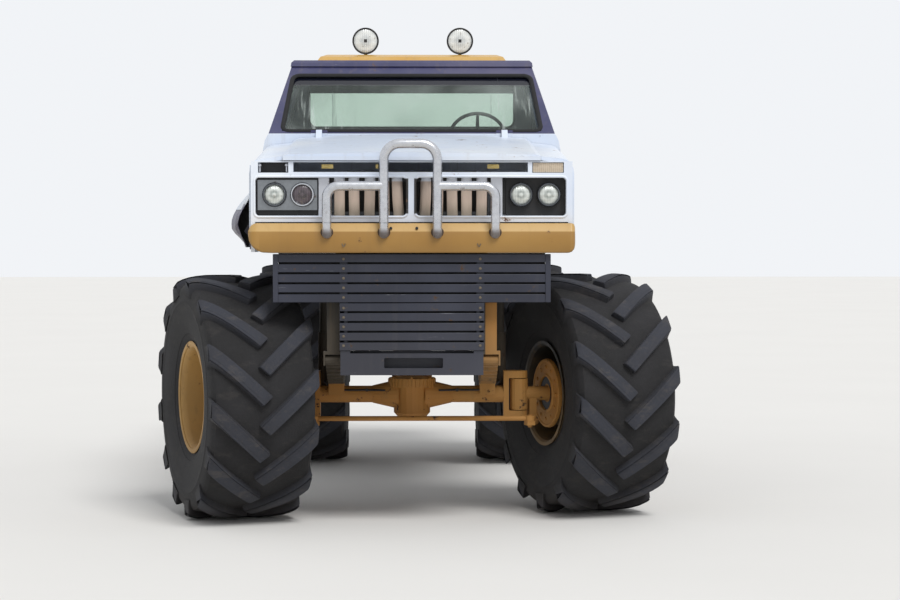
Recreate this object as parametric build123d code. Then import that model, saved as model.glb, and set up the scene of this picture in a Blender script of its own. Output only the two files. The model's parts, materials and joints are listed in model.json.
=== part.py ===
from build123d import *
import math
import os

os.makedirs("parts", exist_ok=True)

# Millimetres. +Z is up from the ground, the front faces -Y and the driver sits on the +X side.
wheelbase = 3350
front_axle_y = -1820
rear_axle_y = front_axle_y + wheelbase
steer_rest = 19
slip = 0.3
running = 5

# Tyres and wheels
tyre_radius = 775
lug_height = 46
lugs_per_side = 13
tread_half = 340
bead_half = 270
bead_radius = 330
sidewall_radius = 650
lug_half_angle = 5
lug_overlap = 22
lug_flare = 1.3
pitch_angle = 360 / lugs_per_side
carcass_radius = tyre_radius - lug_height
axle_z = tyre_radius * math.cos(math.radians(pitch_angle / 4 - lug_half_angle))
wheel_face = -20
wheel_disc = 14
rim_wall = 22
rim_lip = 27
lip_near = bead_half + 7
rim_lip_width = 14
hub_radius = 92
spindle_radius = 42
hub_reach = 150
drum_radius = 210
drum_near = -243
plate_near = -262
plate_far = plate_near + 12

# Axles, kingpins and steering
front_wheel_out = 460
kingpin_x = 690
rear_wheel_x = 850
front_tube_radius = 54
rear_tube_radius = 62
bowl_radius = 150
bowl_height = 118
yoke_half = 150
jaw_gap = 105
jaw_radius = 55
kingpin_radius = 20
knuckle_radius = 58
arm_thick = 26
arm_drop = 186
arm_reach = 195
tie_radius = 20
pin_radius = 14

# Frame and suspension
rail_x = 430
rail_width = 80
rail_wall = 12
rail_bottom = 1500
rail_height = 160
rail_top = rail_bottom + rail_height
tongue_reach = 170
front_spring_x = 485
rear_spring_x = 395
spring_width = 100
spring_half = 610
leaf_thick = 16
leaf_count = 7
leaf_step = 0.115
spring_arch = 80
eye_radius = 32
eye_bore = 14
post_width = 76
cheek = 10
pad_height = 10
shock_radius = 34
shock_back = 122
front_shock_x = 576
rear_shock_x = 300

# Body lines
nose_ahead = spring_half + 190
bumper_face_y = front_axle_y - nose_ahead
grille_set = 100
grille_y = bumper_face_y + grille_set
cowl_y = front_axle_y + 620
screen_rake = 530
header_y = cowl_y + screen_rake
cab_front_y = cowl_y - 40
cab_back_y = cowl_y + 1430
body_half = 1000
body_bottom = 1700
belt_z = 2470
roof_z = 2960
belt_half = body_half - 38
roof_half = body_half - 168
roof_rise = 92
screen_half = belt_half - 90
rear_window_half = roof_half - 77
rear_window_z = (belt_z + 100, roof_z - 64)
rocker_tuck = 22
skin = 25
door_thick = 60
cab_wall = 40
screen_wall = 62
pillar = 46
floor_top = body_bottom + 60
door_front_y = cowl_y + 80
door_rear_y = cab_back_y - 240
door_pin_x = body_half - 16
door_pin_y = door_front_y + 16
door_hinge_z = (1900, 2230)
fender_gap = 10
sill_z = floor_top + 10
window_top = roof_z - 62
panel_gap = 6
door_frame = 36
wheel_centre = (body_half * 0.45, cowl_y + 400, belt_z - 8)
wheel_ring = 196
wheel_grip = 24
wheel_tilt = 32
frame_inset = 42
glass_thick = 6

# Engine and drive line
engine_front_y = front_axle_y - 170
engine_rear_y = cowl_y - 130
engine_half = 270
engine_top = 2190
bell_rear_y = cowl_y + 120
case_front_y = cowl_y + 500
case_back_y = case_front_y + 250
bell_half = 190
box_half = 110
box_low = rail_bottom + 30
box_high = rail_top + 28
case_low = 1350
case_out_z = 1440
shaft_gap = 260
shaft_radius = 44

# Front end
panel_thick = 60
core_back = 160
panel_bottom = 1884
panel_top = 2256
hood_half = body_half - 210
hood_front_edge = 2288
hood_front_top = 2312
hood_rear_edge = 2424
hood_rear_top = 2470
hood_thick = 28
cowl_seam_z = 2312
hood_hinge_x = (-620, 620)
hood_pin_y = cab_front_y + 16
hinge_barrel = 13
hinge_pin = 6
hood_pin_z = belt_z + hinge_barrel + running
arch_radius = 430
arch_z = 1640
arch_sides = 40
fender_top = 2262
fender_shoulder = 82
fender_climb = 136
bend_top = 2010
bend_out = 118
lamp_z = 2052
lamp_radius = 73
lamp_sides = 24
roof_lamp_x = (-323, 337)
lamp_inner_x = body_half - 329
lamp_outer_x = body_half - 158
slat_width = body_half * 0.066
slat_pitch = body_half * 0.0885
slat_thick = 14
slats_per_side = 5
bumper_half = body_half
bumper_hole_x = (-128, 30)
bumper_hole_radius = 9
bumper_low = 1695
bumper_high = 1878
bumper_depth = 90
bumper_wall = 10
guard_tube = 29
guard_sides = 14
foot_half = 32
foot_thick = 6
hoop_x = (-170, 155)
hoop_top = 2360
hoop_bend = 85
arm_z_level = 2103
leg_x = (-517, 508)
foot_z = 1815
upper_guard_half = body_half - 150
upper_guard_z = (1392, 1689)
lower_guard_half = 443
lower_guard_z = (1098, 1388)
guard_front_y = bumper_face_y + 50
guard_depth = 60
step_z = (946, 1092)
step_depth = 90

# Load bed
bed_front_y = cab_back_y + 50
bed_overhang = 1110
bed_end_y = rear_axle_y + bed_overhang
house_reach = 360
bed_wall = 90
bed_floor = 1960
bed_floor_thick = 30
tail_half = body_half - 220
tail_thick = 44
tail_gap = 8
tail_pin_y = bed_end_y + tail_gap + 22
tail_pin_z = bed_floor + 2
tail_pin = 8


def block(x, y, z):
    # Each of x, y and z is a pair: low, high.
    pairs = (x, y, z)
    return Pos(*[(a + b) / 2 for a, b in pairs]) * Box(*[b - a for a, b in pairs])


def face_of(points):
    return Face(Wire.make_polygon(points, close=True))


def prism_x(outline, x):
    # outline is a list of (y, z)
    return extrude(face_of([(x[0], y, z) for y, z in outline]), amount=x[1] - x[0], dir=(1, 0, 0))


def prism_y(outline, y):
    # outline is a list of (x, z)
    return extrude(face_of([(x, y[0], z) for x, z in outline]), amount=y[1] - y[0], dir=(0, 1, 0))


def prism_z(outline, z):
    # outline is a list of (x, y)
    return extrude(face_of([(x, y, z[0]) for x, y in outline]), amount=z[1] - z[0], dir=(0, 0, 1))


def ruled(*sections):
    return loft([face_of(points) for points in sections], ruled=True)


def rod(start, end, radius, sides=0):
    # Round, or with that many flat sides where a repeated piece gets fewer faces.
    a, b = Vector(*start), Vector(*end)
    section = RegularPolygon(radius, sides) if sides else Circle(radius)
    return extrude(Plane(origin=a, z_dir=b - a) * section, amount=(b - a).length)


def disc_x(x, radius, y=0, z=0, sides=0):
    return rod((x[0], y, z), (x[1], y, z), radius, sides)


def tapered(x, radii, sides=20):
    # A tapered plug along X, with flat sides.
    points = []
    for a, radius in zip(x, radii):
        for k in range(sides):
            turn = 2 * math.pi * k / sides
            points.append((a, radius * math.cos(turn), radius * math.sin(turn)))
    return ConvexPolyhedron(points)


def upright(z, radius, x=0, y=0, sides=16):
    # A flat sided post along Z; z is a pair and radius a number or a pair.
    radii = radius if isinstance(radius, tuple) else (radius, radius)
    return Pos(x, y, 0) * Rot(0, -90, 0) * tapered(z, radii, sides)


def round_hole(x, z, y, radius):
    # A rounded rectangular bar along Y, for windows and slots seen from the front.
    middle = Plane(origin=((x[0] + x[1]) / 2, y[0], (z[0] + z[1]) / 2), x_dir=(1, 0, 0), z_dir=(0, -1, 0))
    window = middle * RectangleRounded(x[1] - x[0], z[1] - z[0], radius)
    return extrude(window, amount=y[1] - y[0], dir=(0, 1, 0))


def mitred_tube(points, radius):
    path = Polyline(*points)
    start = Plane(origin=points[0], z_dir=Vector(*points[1]) - Vector(*points[0]))
    return sweep(start * RegularPolygon(radius, guard_sides), path=path, transition=Transition.RIGHT)


def other_side(shape):
    return mirror(shape, about=Plane.YZ)


def both_sides(shape):
    return shape + other_side(shape)


# Tyre

def tread_point(x, radius, angle):
    # Angle 0 points to the front and grows downwards, as a rolling wheel turns.
    turn = math.radians(angle)
    return (x, -radius * math.cos(turn), -radius * math.sin(turn))


def lug(side, angle):
    # A bar lug spans three cross sections, from past the centre line out to the shoulder.
    step = pitch_angle / 2
    # columns: x, radius of the top, angle of the section
    sections = (
        (-side * lug_overlap, tyre_radius, angle + step),
        (side * tread_half / 2, tyre_radius, angle),
        (side * tread_half, tyre_radius - lug_height / 2, angle - step),
    )
    low = carcass_radius - lug_height / 2
    points = []
    for x, top, middle in sections:
        for radius, spread in ((low, lug_half_angle * lug_flare), (top, lug_half_angle)):
            points += [tread_point(x, radius, middle + s * spread) for s in (-1, 1)]
    return ConvexPolyhedron(points)


def polygon_ring(x, radius):
    count = 2 * lugs_per_side
    return [tread_point(x, radius, k * pitch_angle / 2) for k in range(count)]


def faceted(x, radii):
    # A plug along the axle with the tyre's own number of sides; x and radii are pairs.
    return ConvexPolyhedron([p for a, radius in zip(x, radii) for p in polygon_ring(a, radius)])


def tyre():
    body = faceted((-tread_half, tread_half), (carcass_radius, carcass_radius))
    lugs = [lug(1, k * pitch_angle) for k in range(lugs_per_side)]
    lugs += [lug(-1, (k + 0.5) * pitch_angle) for k in range(lugs_per_side)]
    body = body.fuse(*lugs)
    # Each sidewall is dished from the shoulder down to the bead.
    for side in (-1, 1):
        x = (side * (tread_half + 1), side * bead_half)
        body -= faceted(x, (sidewall_radius, bead_radius))
    return body - faceted((-tread_half - 1, tread_half + 1), (bead_radius, bead_radius))


def rim():
    # The barrel, its outer lip, the disc, the hub and the brake drum.
    seat = bead_radius - slip
    end = lip_near + rim_lip_width
    well = seat - rim_wall
    shape = faceted((-end, end), (seat, seat)) + faceted((lip_near, end), (seat + rim_lip, seat + rim_lip))
    shape -= faceted((-end - 1, end + 1), (well, well))
    face = (wheel_face, wheel_face + wheel_disc)
    disc = faceted(face, (well + rim_wall / 3, well + rim_wall / 3))
    hub = tapered((face[0], hub_reach), (hub_radius, hub_radius), 24)
    drum = faceted((drum_near, face[0]), (drum_radius, drum_radius))
    shape = shape.fuse(disc, hub, drum)
    return shape - disc_x((drum_near - 1, hub_reach - 60), spindle_radius + slip)


def spindle():
    # The fixed half of a wheel end: a backing plate and the spindle that the hub runs on.
    plate = faceted((plate_near, plate_far), (drum_radius + 14, drum_radius + 14))
    return plate + disc_x((plate_near, hub_reach - 75), spindle_radius)


def wheel_place(side, front):
    if not front:
        return Pos(side * rear_wheel_x, rear_axle_y, axle_z)
    pivot = Pos(side * kingpin_x, front_axle_y, axle_z)
    return pivot * Rot(0, 0, steer_rest) * Pos(side * front_wheel_out, 0, 0)


def parked_roll(side, front):
    # The front right tyre stopped half a lug's pitch further round than the others.
    return Rot(pitch_angle / 2 if front and side < 0 else 0, 0, 0)


# Axles and steering

def axle_bowl(tube_radius):
    # The drive housing in the middle of an axle, with its ribbed cap on top.
    neck = bowl_radius * 0.78
    step = bowl_height - 70
    bowl = upright((-bowl_height, step), neck, sides=20)
    cap = upright((step, bowl_height - 12), bowl_radius, sides=20)
    sump = upright((-bowl_height - 30, 1 - bowl_height), (bowl_radius * 0.6, neck), sides=20)
    dome = upright((bowl_height - 13, bowl_height), (bowl_radius, bowl_radius * 0.5), sides=20)
    rib = block((-7, 7), (4 - bowl_radius, bowl_radius - 4), (bowl_height - 30, bowl_height - 2))
    ribs = [Rot(0, 0, 60 * k) * rib for k in range(3)]
    horn = tapered((85, 255), (96, tube_radius + 2))
    return bowl.fuse(cap, sump, dome, *ribs, horn, other_side(horn))


def spring_pad(x):
    top = spring_seat_z() - axle_z
    return block((x - spring_width / 2, x + spring_width / 2), (-75, 75), (0, top))


def spring_seat_z():
    return axle_z + rear_tube_radius + pad_height


def yoke():
    # The open jaws at the end of the front axle, bored for the kingpins.
    back = kingpin_x - jaw_radius - 45
    web = block((back, back + 34), (-jaw_radius, jaw_radius), (-yoke_half, yoke_half))
    jaws = []
    for sign in (-1, 1):
        z = sorted((sign * jaw_gap, sign * yoke_half))
        jaw = block((back, kingpin_x), (-jaw_radius, jaw_radius), z)
        jaws.append(jaw + upright(z, jaw_radius, kingpin_x))
    bore = Pos(kingpin_x, 0, 0) * Cylinder(kingpin_radius + slip, 2 * yoke_half + 2)
    return web.fuse(*jaws) - bore


def front_axle():
    reach = kingpin_x - jaw_radius - 20
    tube = tapered((-reach, reach), (front_tube_radius, front_tube_radius))
    pads = both_sides(spring_pad(front_spring_x))
    seats = both_sides(shock_seat(front_shock_x))
    shape = tube.fuse(axle_bowl(front_tube_radius), pads, seats, yoke(), other_side(yoke()), pinion(1))
    return Pos(0, front_axle_y, axle_z) * shape


def rear_axle():
    reach = rear_wheel_x + plate_near
    tube = tapered((-reach, reach), (rear_tube_radius, rear_tube_radius))
    pads = both_sides(spring_pad(rear_spring_x))
    end = Pos(rear_wheel_x, 0, 0) * spindle()
    seats = both_sides(shock_seat(rear_shock_x))
    shape = tube.fuse(axle_bowl(rear_tube_radius), pads, seats, end, other_side(end), pinion(-1))
    return Pos(0, rear_axle_y, axle_z) * shape


def knuckle(side):
    # The swivelling end of the front axle, built straight and then turned to the parked angle.
    post = upright((running - jaw_gap, jaw_gap - running), knuckle_radius)
    pins = Cylinder(kingpin_radius, 2 * yoke_half)
    neck = tapered((0, front_wheel_out + plate_near), (knuckle_radius * 0.8, knuckle_radius * 0.8), 16)
    end = Pos(front_wheel_out, 0, 0) * spindle()
    arm_z = (-arm_drop, -arm_drop + arm_thick)
    arm = prism_z([(62, 30), (62, -60), (-30, -arm_reach + 26), (-30, -arm_reach - 30),
                   (22, -arm_reach - 30), (110, -70), (110, 30)], arm_z)
    arm += block((62, 110), (-35, 30), (-arm_drop, 0))
    ball = Pos(0, -arm_reach, -arm_drop + arm_thick) * Cylinder(pin_radius, 80)
    shape = post.fuse(pins, neck, end, arm, ball)
    if side < 0:
        shape = other_side(shape)
    return Pos(side * kingpin_x, front_axle_y, axle_z) * Rot(0, 0, steer_rest) * shape


def arm_pin(side):
    # Where the tie rod's end sits on the steering arm in the parked pose.
    turn = math.radians(steer_rest)
    x = side * kingpin_x + arm_reach * math.sin(turn)
    return (x, front_axle_y - arm_reach * math.cos(turn), axle_z - arm_drop + arm_thick)


def tie_rod():
    left, right = arm_pin(1), arm_pin(-1)
    rise = slip + 17
    bar = rod((right[0], right[1], right[2] + rise), (left[0], left[1], left[2] + rise), tie_radius * 0.8, 12)
    for x, y, z in (left, right):
        bar += upright((z + rise - 17, z + rise + 17), 32, x, y)
    for x, y, z in (left, right):
        bar -= Pos(x, y, z + rise) * Cylinder(pin_radius + 2 * slip, 60)
    return bar


# Frame and suspension

def rail(side):
    outer = rail_x + rail_width / 2
    inner = rail_x - rail_width / 2
    outline = [(inner, rail_bottom), (outer, rail_bottom), (outer, rail_top), (inner, rail_top),
               (inner, rail_top - rail_wall), (outer - rail_wall, rail_top - rail_wall),
               (outer - rail_wall, rail_bottom + rail_wall), (inner, rail_bottom + rail_wall)]
    return prism_y([(side * x, z) for x, z in outline], (rail_front_y(), rail_rear_y()))


def rail_front_y():
    return guard_front_y + guard_depth


def rail_rear_y():
    return bed_end_y - 60


def cross_member(y):
    web = rail_x + rail_width / 2 - rail_wall
    z = (rail_bottom + rail_wall, rail_top - rail_wall)
    hollow = block((-web - 1, web + 1), (y - 28, y + 28), (z[0] - 1, z[1] - rail_wall))
    return block((-web, web), (y - 40, y + 40), z) - hollow


def eye_z():
    return spring_seat_z() + leaf_thick * (leaf_count - 0.5) + spring_arch


def hanger(x, y):
    # A drop post from the rail to a spring eye, ending in two cheeks and a pin.
    half = post_width / 2
    low = eye_z() + eye_radius + running
    post = block((x - half, x + half), (y - half, y + half), (low, rail_bottom))
    cheeks = []
    for sign in (-1, 1):
        a = x + sign * (spring_width / 2 + slip)
        xs = sorted((a, a + sign * cheek))
        cheeks.append(block(xs, (y - half, y + half), (eye_z() - eye_radius, low + 20)))
    wide = spring_width / 2 + cheek
    cap = block((x - wide, x + wide), (y - half, y + half), (low, low + 20))
    pin = disc_x((x - wide + cheek / 2, x + wide - cheek / 2), eye_bore - slip, y, eye_z(), 12)
    return post.fuse(cap, pin, *cheeks)


def frame_rails():
    return Compound(children=[rail(1), rail(-1)])


def cross_members():
    # Inverted channels that end inside the rails; the last one carries the drawbar's bored tongue.
    places = (rail_front_y() + 60, front_axle_y - 300, case_back_y + 50, cab_back_y + 150, rear_axle_y - 500,
              rear_axle_y + 480)
    out = [cross_member(y) for y in places]
    tail = rail_rear_y()
    tongue = block((-50, 50), (tail - 90, tail + tongue_reach), (rail_bottom - 30, rail_bottom + rail_wall))
    tongue -= Pos(0, tail + 50, rail_bottom) * Cylinder(16, 200)
    return Compound(children=out + [cross_member(tail - 45) + tongue])


def front_hanger(y):
    # The front springs stand wider than the rails, so a wing plate carries each post.
    inner = rail_x - rail_width / 2
    wing = block((inner, front_spring_x + post_width / 2), (y - 60, y + 60), (rail_bottom - 12, rail_bottom))
    return hanger(front_spring_x, y) + wing


def shock_bracket(x, y):
    # A flat bracket under the rail, out to the shock absorber on either side of it.
    edge = rail_x + math.copysign(rail_width / 2 - 30, x - rail_x)
    reach = sorted((edge, x + math.copysign(shock_radius + 6, x - rail_x)))
    return block(reach, (y - 40, y + 40), (rail_bottom - rail_wall, rail_bottom))


def frame_brackets():
    # Spring hangers, shock absorber brackets and the pads under the cab.
    parts = []
    for end in (-spring_half, spring_half):
        parts += [front_hanger(front_axle_y + end), hanger(rear_spring_x, rear_axle_y + end)]
    parts += [shock_bracket(x, y) for x, y, low in shock_places()]
    for y in (cab_front_y + 70, cab_back_y - 70):
        parts.append(block((rail_x - 30, rail_x + 30), (y - 30, y + 30), (rail_top, body_bottom)))
    return Compound(children=parts + [other_side(part) for part in parts])


def leaf_pack():
    # One stepped outline for all leaves, open upwards, then the rolled eyes and the clamp.
    steps = 10
    rise = leaf_thick * leaf_count

    def curve(y, layer):
        return spring_arch * (y / spring_half) ** 2 + rise - layer * leaf_thick

    top = [(spring_half * (2 * k / steps - 1), 0) for k in range(steps + 1)]
    outline = [(y, curve(y, 0)) for y, _ in top]
    for sign in (1, -1):
        ends = []
        for layer in range(1, leaf_count + 1):
            tip = spring_half * (1 - (layer - 1) * leaf_step)
            ends.append((sign * tip, curve(tip, layer)))
            if layer < leaf_count:
                following = spring_half * (1 - layer * leaf_step)
                ends.append((sign * following, curve(following, layer)))
        outline += ends if sign > 0 else ends[::-1]
    pack = prism_x(outline, (-spring_width / 2, spring_width / 2))
    at = rise - leaf_thick / 2 + spring_arch
    for end in (-spring_half, spring_half):
        pack += disc_x((-spring_width / 2, spring_width / 2), eye_radius, end, at, 12)
        pack -= disc_x((-spring_width, spring_width), eye_bore, end, at, 12)
    return pack + block((-spring_width / 2, spring_width / 2), (-75, 75), (0, rise + 22))


def leaf_springs():
    out = []
    for x, y in ((front_spring_x, front_axle_y), (rear_spring_x, rear_axle_y)):
        for side in (-1, 1):
            out.append(Pos(side * x, y, spring_seat_z()) * leaf_pack())
    return Compound(children=out)


def shock_places():
    # columns: x, y, z of the lower seat, for the front and the rear
    front, rear = front_axle_y + shock_back, rear_axle_y + shock_back
    return ((front_shock_x, front, axle_z), (rear_shock_x, rear, axle_z))


def shock_absorbers():
    out = []
    top = rail_bottom - rail_wall
    for x, y, low in shock_places():
        middle = low + (top - low) * 0.55
        one = upright((low, middle), shock_radius, x, y) + upright((middle, top), shock_radius * 0.7, x, y)
        out += [one, other_side(one)]
    return Compound(children=out)


def shock_seat(x):
    # The bracket on the back of an axle tube that carries a shock absorber.
    return block((x - 24, x + 24), (30, shock_back + shock_radius), (-30, 0))


# Drive line

def pinion_line(direction):
    # From an axle's pinion up to the transfer case, in the axle's own coordinates.
    y = front_axle_y if direction > 0 else rear_axle_y
    case_y = case_front_y if direction > 0 else case_back_y
    start = Vector(0, 0, 30)
    end = Vector(0, case_y - y, case_out_z - axle_z)
    return start, end


def pinion(direction):
    start, end = pinion_line(direction)
    along = (end - start).normalized()
    neck = rod(tuple(start), tuple(start + along * shaft_gap), 62, 16)
    flange = rod(tuple(start + along * (shaft_gap - 18)), tuple(start + along * shaft_gap), 82, 16)
    return neck + flange


def driveshafts():
    out = []
    for direction, y in ((1, front_axle_y), (-1, rear_axle_y)):
        start, end = pinion_line(direction)
        along = (end - start).normalized()
        a, b = start + along * shaft_gap, end - along * 90
        shaft = rod(tuple(a), tuple(b), shaft_radius, 20)
        shaft += rod(tuple(a), tuple(a + along * 60), 70, 20) + rod(tuple(b - along * 60), tuple(b), 66, 20)
        out.append(Pos(0, y, axle_z) * shaft)
    return Compound(children=out)


def gearbox():
    # The bell housing, the gearbox and the transfer case with its two output necks.
    ends = []
    for y, half in ((engine_rear_y, bell_half), (bell_rear_y, box_half)):
        ends.append([(-half, y, box_low), (half, y, box_low), (half, y, box_high), (-half, y, box_high)])
    bell = ruled(*ends)
    main = block((-box_half, box_half), (bell_rear_y, case_front_y), (box_low, box_high))
    case = block((-150, 150), (case_front_y, case_back_y), (case_low, box_high))
    shape = bell + main + case
    for direction, y in ((1, front_axle_y), (-1, rear_axle_y)):
        start, end = pinion_line(direction)
        along = (end - start).normalized()
        stub = rod(tuple(end - along * 90), tuple(end + along * 40), 60, 20)
        shape += Pos(0, y, axle_z) * stub
    return shape + block((-90, 90), (case_back_y, case_back_y + 10), (box_low, box_low + 100))


def engine():
    y = (engine_front_y, engine_rear_y)
    mount_y = (front_axle_y + 80, front_axle_y + 200)
    body = block((-engine_half, engine_half), y, (rail_top + 60, engine_top))
    sump = block((-150, 150), y, (rail_bottom + 40, rail_top + 60))
    mount = block((engine_half, rail_x + rail_width / 2), mount_y, (rail_top, rail_top + 26))
    gusset = block((engine_half, engine_half + 30), mount_y, (rail_top, rail_top + 120))
    return body + sump + both_sides(mount + gusset)


# Guards, bumper and brush guard

def slat_row(x, z, y, count, gap, frame_width):
    # A flat frame of two uprights, with slats let into their front and a narrow gap between them.
    height = (z[1] - z[0] - gap * (count - 1)) / count
    parts = []
    for k in range(count):
        low = z[0] + k * (height + gap)
        parts.append(block((x[0], x[1]), (y[0], y[0] + 14), (low, low + height)))
    for a in (x[0], x[1] - frame_width):
        parts.append(block((a, a + frame_width), (y[0] + 8, y[1]), z))
    return parts[0].fuse(*parts[1:])


def slatted_guards():
    y = (guard_front_y, guard_front_y + guard_depth)
    upper = slat_row((-upper_guard_half, upper_guard_half), upper_guard_z, y, 5, 7, 30)
    lower = slat_row((-lower_guard_half, lower_guard_half), lower_guard_z, y, 5, 6, 30)
    legs = []
    for side in (-1, 1):
        xs = sorted((side * (rail_x - 35), side * (rail_x + 13)))
        legs.append(block(xs, (y[0] + 8, y[1]), (lower_guard_z[0], upper_guard_z[1])))
    return upper.fuse(lower, *legs)


def front_step():
    # A shallow trough under the guard, with a slot in its front.
    y = (guard_front_y + 10, guard_front_y + step_depth)
    half = lower_guard_half - 5
    z = step_z
    outline = [(y[0], z[1] - 12), (y[0], z[0]), (y[1], z[0]), (y[1], z[1]), (y[1] - 8, z[1]),
               (y[1] - 8, z[0] + 8), (y[0] + 8, z[0] + 8), (y[0] + 8, z[1] - 12)]
    trough = prism_x(outline, (-half, half))
    end = block((half - 60, half), (y[0], y[1]), (z[0], lower_guard_z[0]))
    trough = trough + end + other_side(end)
    slot = round_hole((-170, 190), (z[0] + 43, z[0] + 106), (y[0] - 5, y[0] + 20), 8)
    return trough - slot


def bumper():
    y, wall = bumper_face_y, bumper_wall
    low, high = bumper_low, bumper_high
    outline = [(y, low), (y, high - 14), (y + 14, high), (y + bumper_depth, high),
               (y + bumper_depth, high - wall), (y + 18, high - wall), (y + wall, high - 18),
               (y + wall, low + wall), (y + bumper_depth, low + wall), (y + bumper_depth, low)]
    bar = prism_x(outline, (-bumper_half, bumper_half))
    corner = prism_y([(bumper_half + 1, low - 1), (bumper_half - 45, low - 1), (bumper_half, low + 125),
                      (bumper_half + 1, low + 125)], (y - 1, y + bumper_depth + 1))
    bar = bar - corner - other_side(corner)
    back = rail_front_y()
    inner = rail_x - rail_width / 2
    bracket = prism_x([(y + wall, low + wall), (y + wall, high - wall), (back + 30, high - wall),
                       (back + 110, rail_top + 60), (back + 110, rail_top), (back + 4, rail_top),
                       (back + 4, low + wall)], (inner, inner + 14))
    bar = bar + both_sides(bracket)
    hole_z = high - 30
    for x in bumper_hole_x:
        bar -= rod((x, y - 1, hole_z), (x, y + wall + 10, hole_z), bumper_hole_radius)
    return bar


def brush_guard():
    y = bumper_face_y - foot_thick - guard_tube + 4
    left, right = hoop_x
    path = [(left, y, foot_z)]
    for x, first in ((left + hoop_bend, 180), (right - hoop_bend, 90)):
        for k in range(5):
            angle = math.radians(first - 22.5 * k)
            rise = hoop_bend * math.sin(angle) - hoop_bend
            path.append((x + hoop_bend * math.cos(angle), y, hoop_top + rise))
    path.append((right, y, foot_z))
    hoop = mitred_tube(path, guard_tube)
    parts = []
    for inner, outer in zip(hoop_x, leg_x):
        corners = [(inner, y, arm_z_level), (outer, y, arm_z_level), (outer, y, foot_z)]
        parts.append(mitred_tube(corners, guard_tube))
    for x in (*hoop_x, *leg_x):
        parts.append(block((x - foot_half, x + foot_half), (bumper_face_y - foot_thick, bumper_face_y),
                           (foot_z - 20, bumper_high - 16)))
    return hoop.fuse(*parts)


# Front sheet metal

def slat_places():
    return [side * slat_pitch * k - 4 for side in (-1, 1) for k in range(1, slats_per_side + 1)]


def grille_panel():
    y = (grille_y, grille_y + panel_thick)
    plate = block((-body_half + 15, body_half - 15), y, (panel_bottom, panel_top))
    cut = (y[0] - 1, y[1] + 1)
    # columns: x low, x high, z low, z high, corner radius
    b, top, low = body_half, panel_top, panel_bottom
    holes = (
        (58 - b, 244 - b, top - 70, top - 6, 0),
        (274 - b, b - 288, top - 66, top - 6, 0),
        (b - 262, b - 68, top - 70, top - 6, 0),
        (42 - b, -35, low + 38, top - 100, 24),
        (27, b - 54, low + 38, top - 100, 24),
    )
    for x0, x1, z0, z1, radius in holes:
        plate -= round_hole((x0, x1), (z0, z1), cut, radius) if radius else block((x0, x1), cut, (z0, z1))
    side = block((body_half - 40, body_half - 15), (y[0], y[1]), (body_bottom, panel_bottom))
    return plate + both_sides(side)


def grille_slats():
    y = (grille_y + panel_thick, grille_y + panel_thick + slat_thick)
    z = (lamp_z - 147, lamp_z + 123)
    reach = body_half - 425
    bars = [block((-reach, reach), y, (a, a + 16)) for a in (z[0], z[1] - 16)]
    for x in slat_places():
        half = slat_width / 2
        bars.append(block((x - half, x + half), (y[0] - 30, y[1]), (z[0] + 20, z[1] - 22)))
        bars.append(block((x - 20, x + 20), y, z))
    return bars[0].fuse(*bars[1:])


def headlamps(side, bezel):
    # A mounting plate with two lamp bowls, a filler tab and, where it is still there, the bezel.
    y = grille_y + panel_thick
    b = body_half
    shape = block((b - 422, b - 35), (y, y + 10), (lamp_z - 137, lamp_z + 113))
    for x in (lamp_inner_x, lamp_outer_x):
        shape += rod((x, y - 22, lamp_z), (x, y + 70, lamp_z), lamp_radius, lamp_sides)
    if bezel:
        face = block((b - 420, b - 55), (y - 42, y - 30), (lamp_z - 95, lamp_z + 90))
        for x in (lamp_inner_x, lamp_outer_x):
            face -= rod((x, y - 50, lamp_z), (x, y - 20, lamp_z), lamp_radius + 3, lamp_sides)
        for x in (b - 410, b - 70):
            face += block((x - 6, x + 6), (y - 30, y), (lamp_z - 62, lamp_z + 58))
        shape += face
    tab_z = (lamp_z - 122, lamp_z + 93)
    shape += block((b - 500, b - 426), (y, y + 10), tab_z)
    shape += block((b - 440, b - 410), (y + 10, y + 14), tab_z)
    return shape if side > 0 else other_side(shape)


def parking_lamp():
    y = grille_y
    b, low = body_half, panel_top - 76
    lens = round_hole((b - 258, b - 72), (low + 9, low + 67), (y + 8, y + 22), 6)
    box = block((b - 268, b - 62), (y + panel_thick, y + panel_thick + 30), (low, low + 50))
    neck = block((b - 255, b - 75), (y + 22, y + panel_thick), (low + 12, low + 64))
    return lens + neck + box


def body_side(y):
    # What lies outside the body's side: tucked in under the sill and rounded over below the belt.
    b = body_half
    outline = [(b - rocker_tuck, body_bottom - 1), (b, body_bottom + 160), (b, fender_top + 30),
               (b - 6, fender_top + 110), (b - 17, fender_top + 165), (belt_half + 4, belt_z - 8),
               (belt_half - 3, belt_z + 1), (b + 60, belt_z + 1), (b + 60, body_bottom - 1)]
    side = prism_y(outline, y)
    return [side, other_side(side)]


def fender_section(y, lift):
    # The top is rounded in five flats and the sill is tucked in.
    top = fender_top + lift
    edge = top - fender_shoulder
    inner = hood_half + panel_gap
    b, s = body_half, skin
    outer = [(b - rocker_tuck, body_bottom), (b, body_bottom + 160), (b, edge), (b - 5, edge + 34),
             (b - 17, edge + 62), (b - 36, top), (b - 70, top + 12), (inner, top + 26)]
    under = [(inner, top + 26 - s), (b - 75, top + 12 - s), (b - 48, top - s - 2), (b - 36, edge + 48),
             (b - 30, edge + 28), (b - s, edge - 4), (b - s, body_bottom + 160),
             (b - s - rocker_tuck, body_bottom)]
    return [(x, y, z) for x, z in outer + under]


def fender_skin():
    front, rear = grille_y + panel_thick, door_front_y - fender_gap
    shape = ruled(fender_section(front, 0), fender_section(rear, fender_climb))
    arch = disc_x((body_half - 200, body_half + 200), arch_radius, front_axle_y, arch_z, arch_sides)
    top = block((0, body_half + 1), (cab_front_y - panel_gap, rear + 1), (cowl_seam_z - panel_gap, belt_z))
    return shape - arch - top


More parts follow.
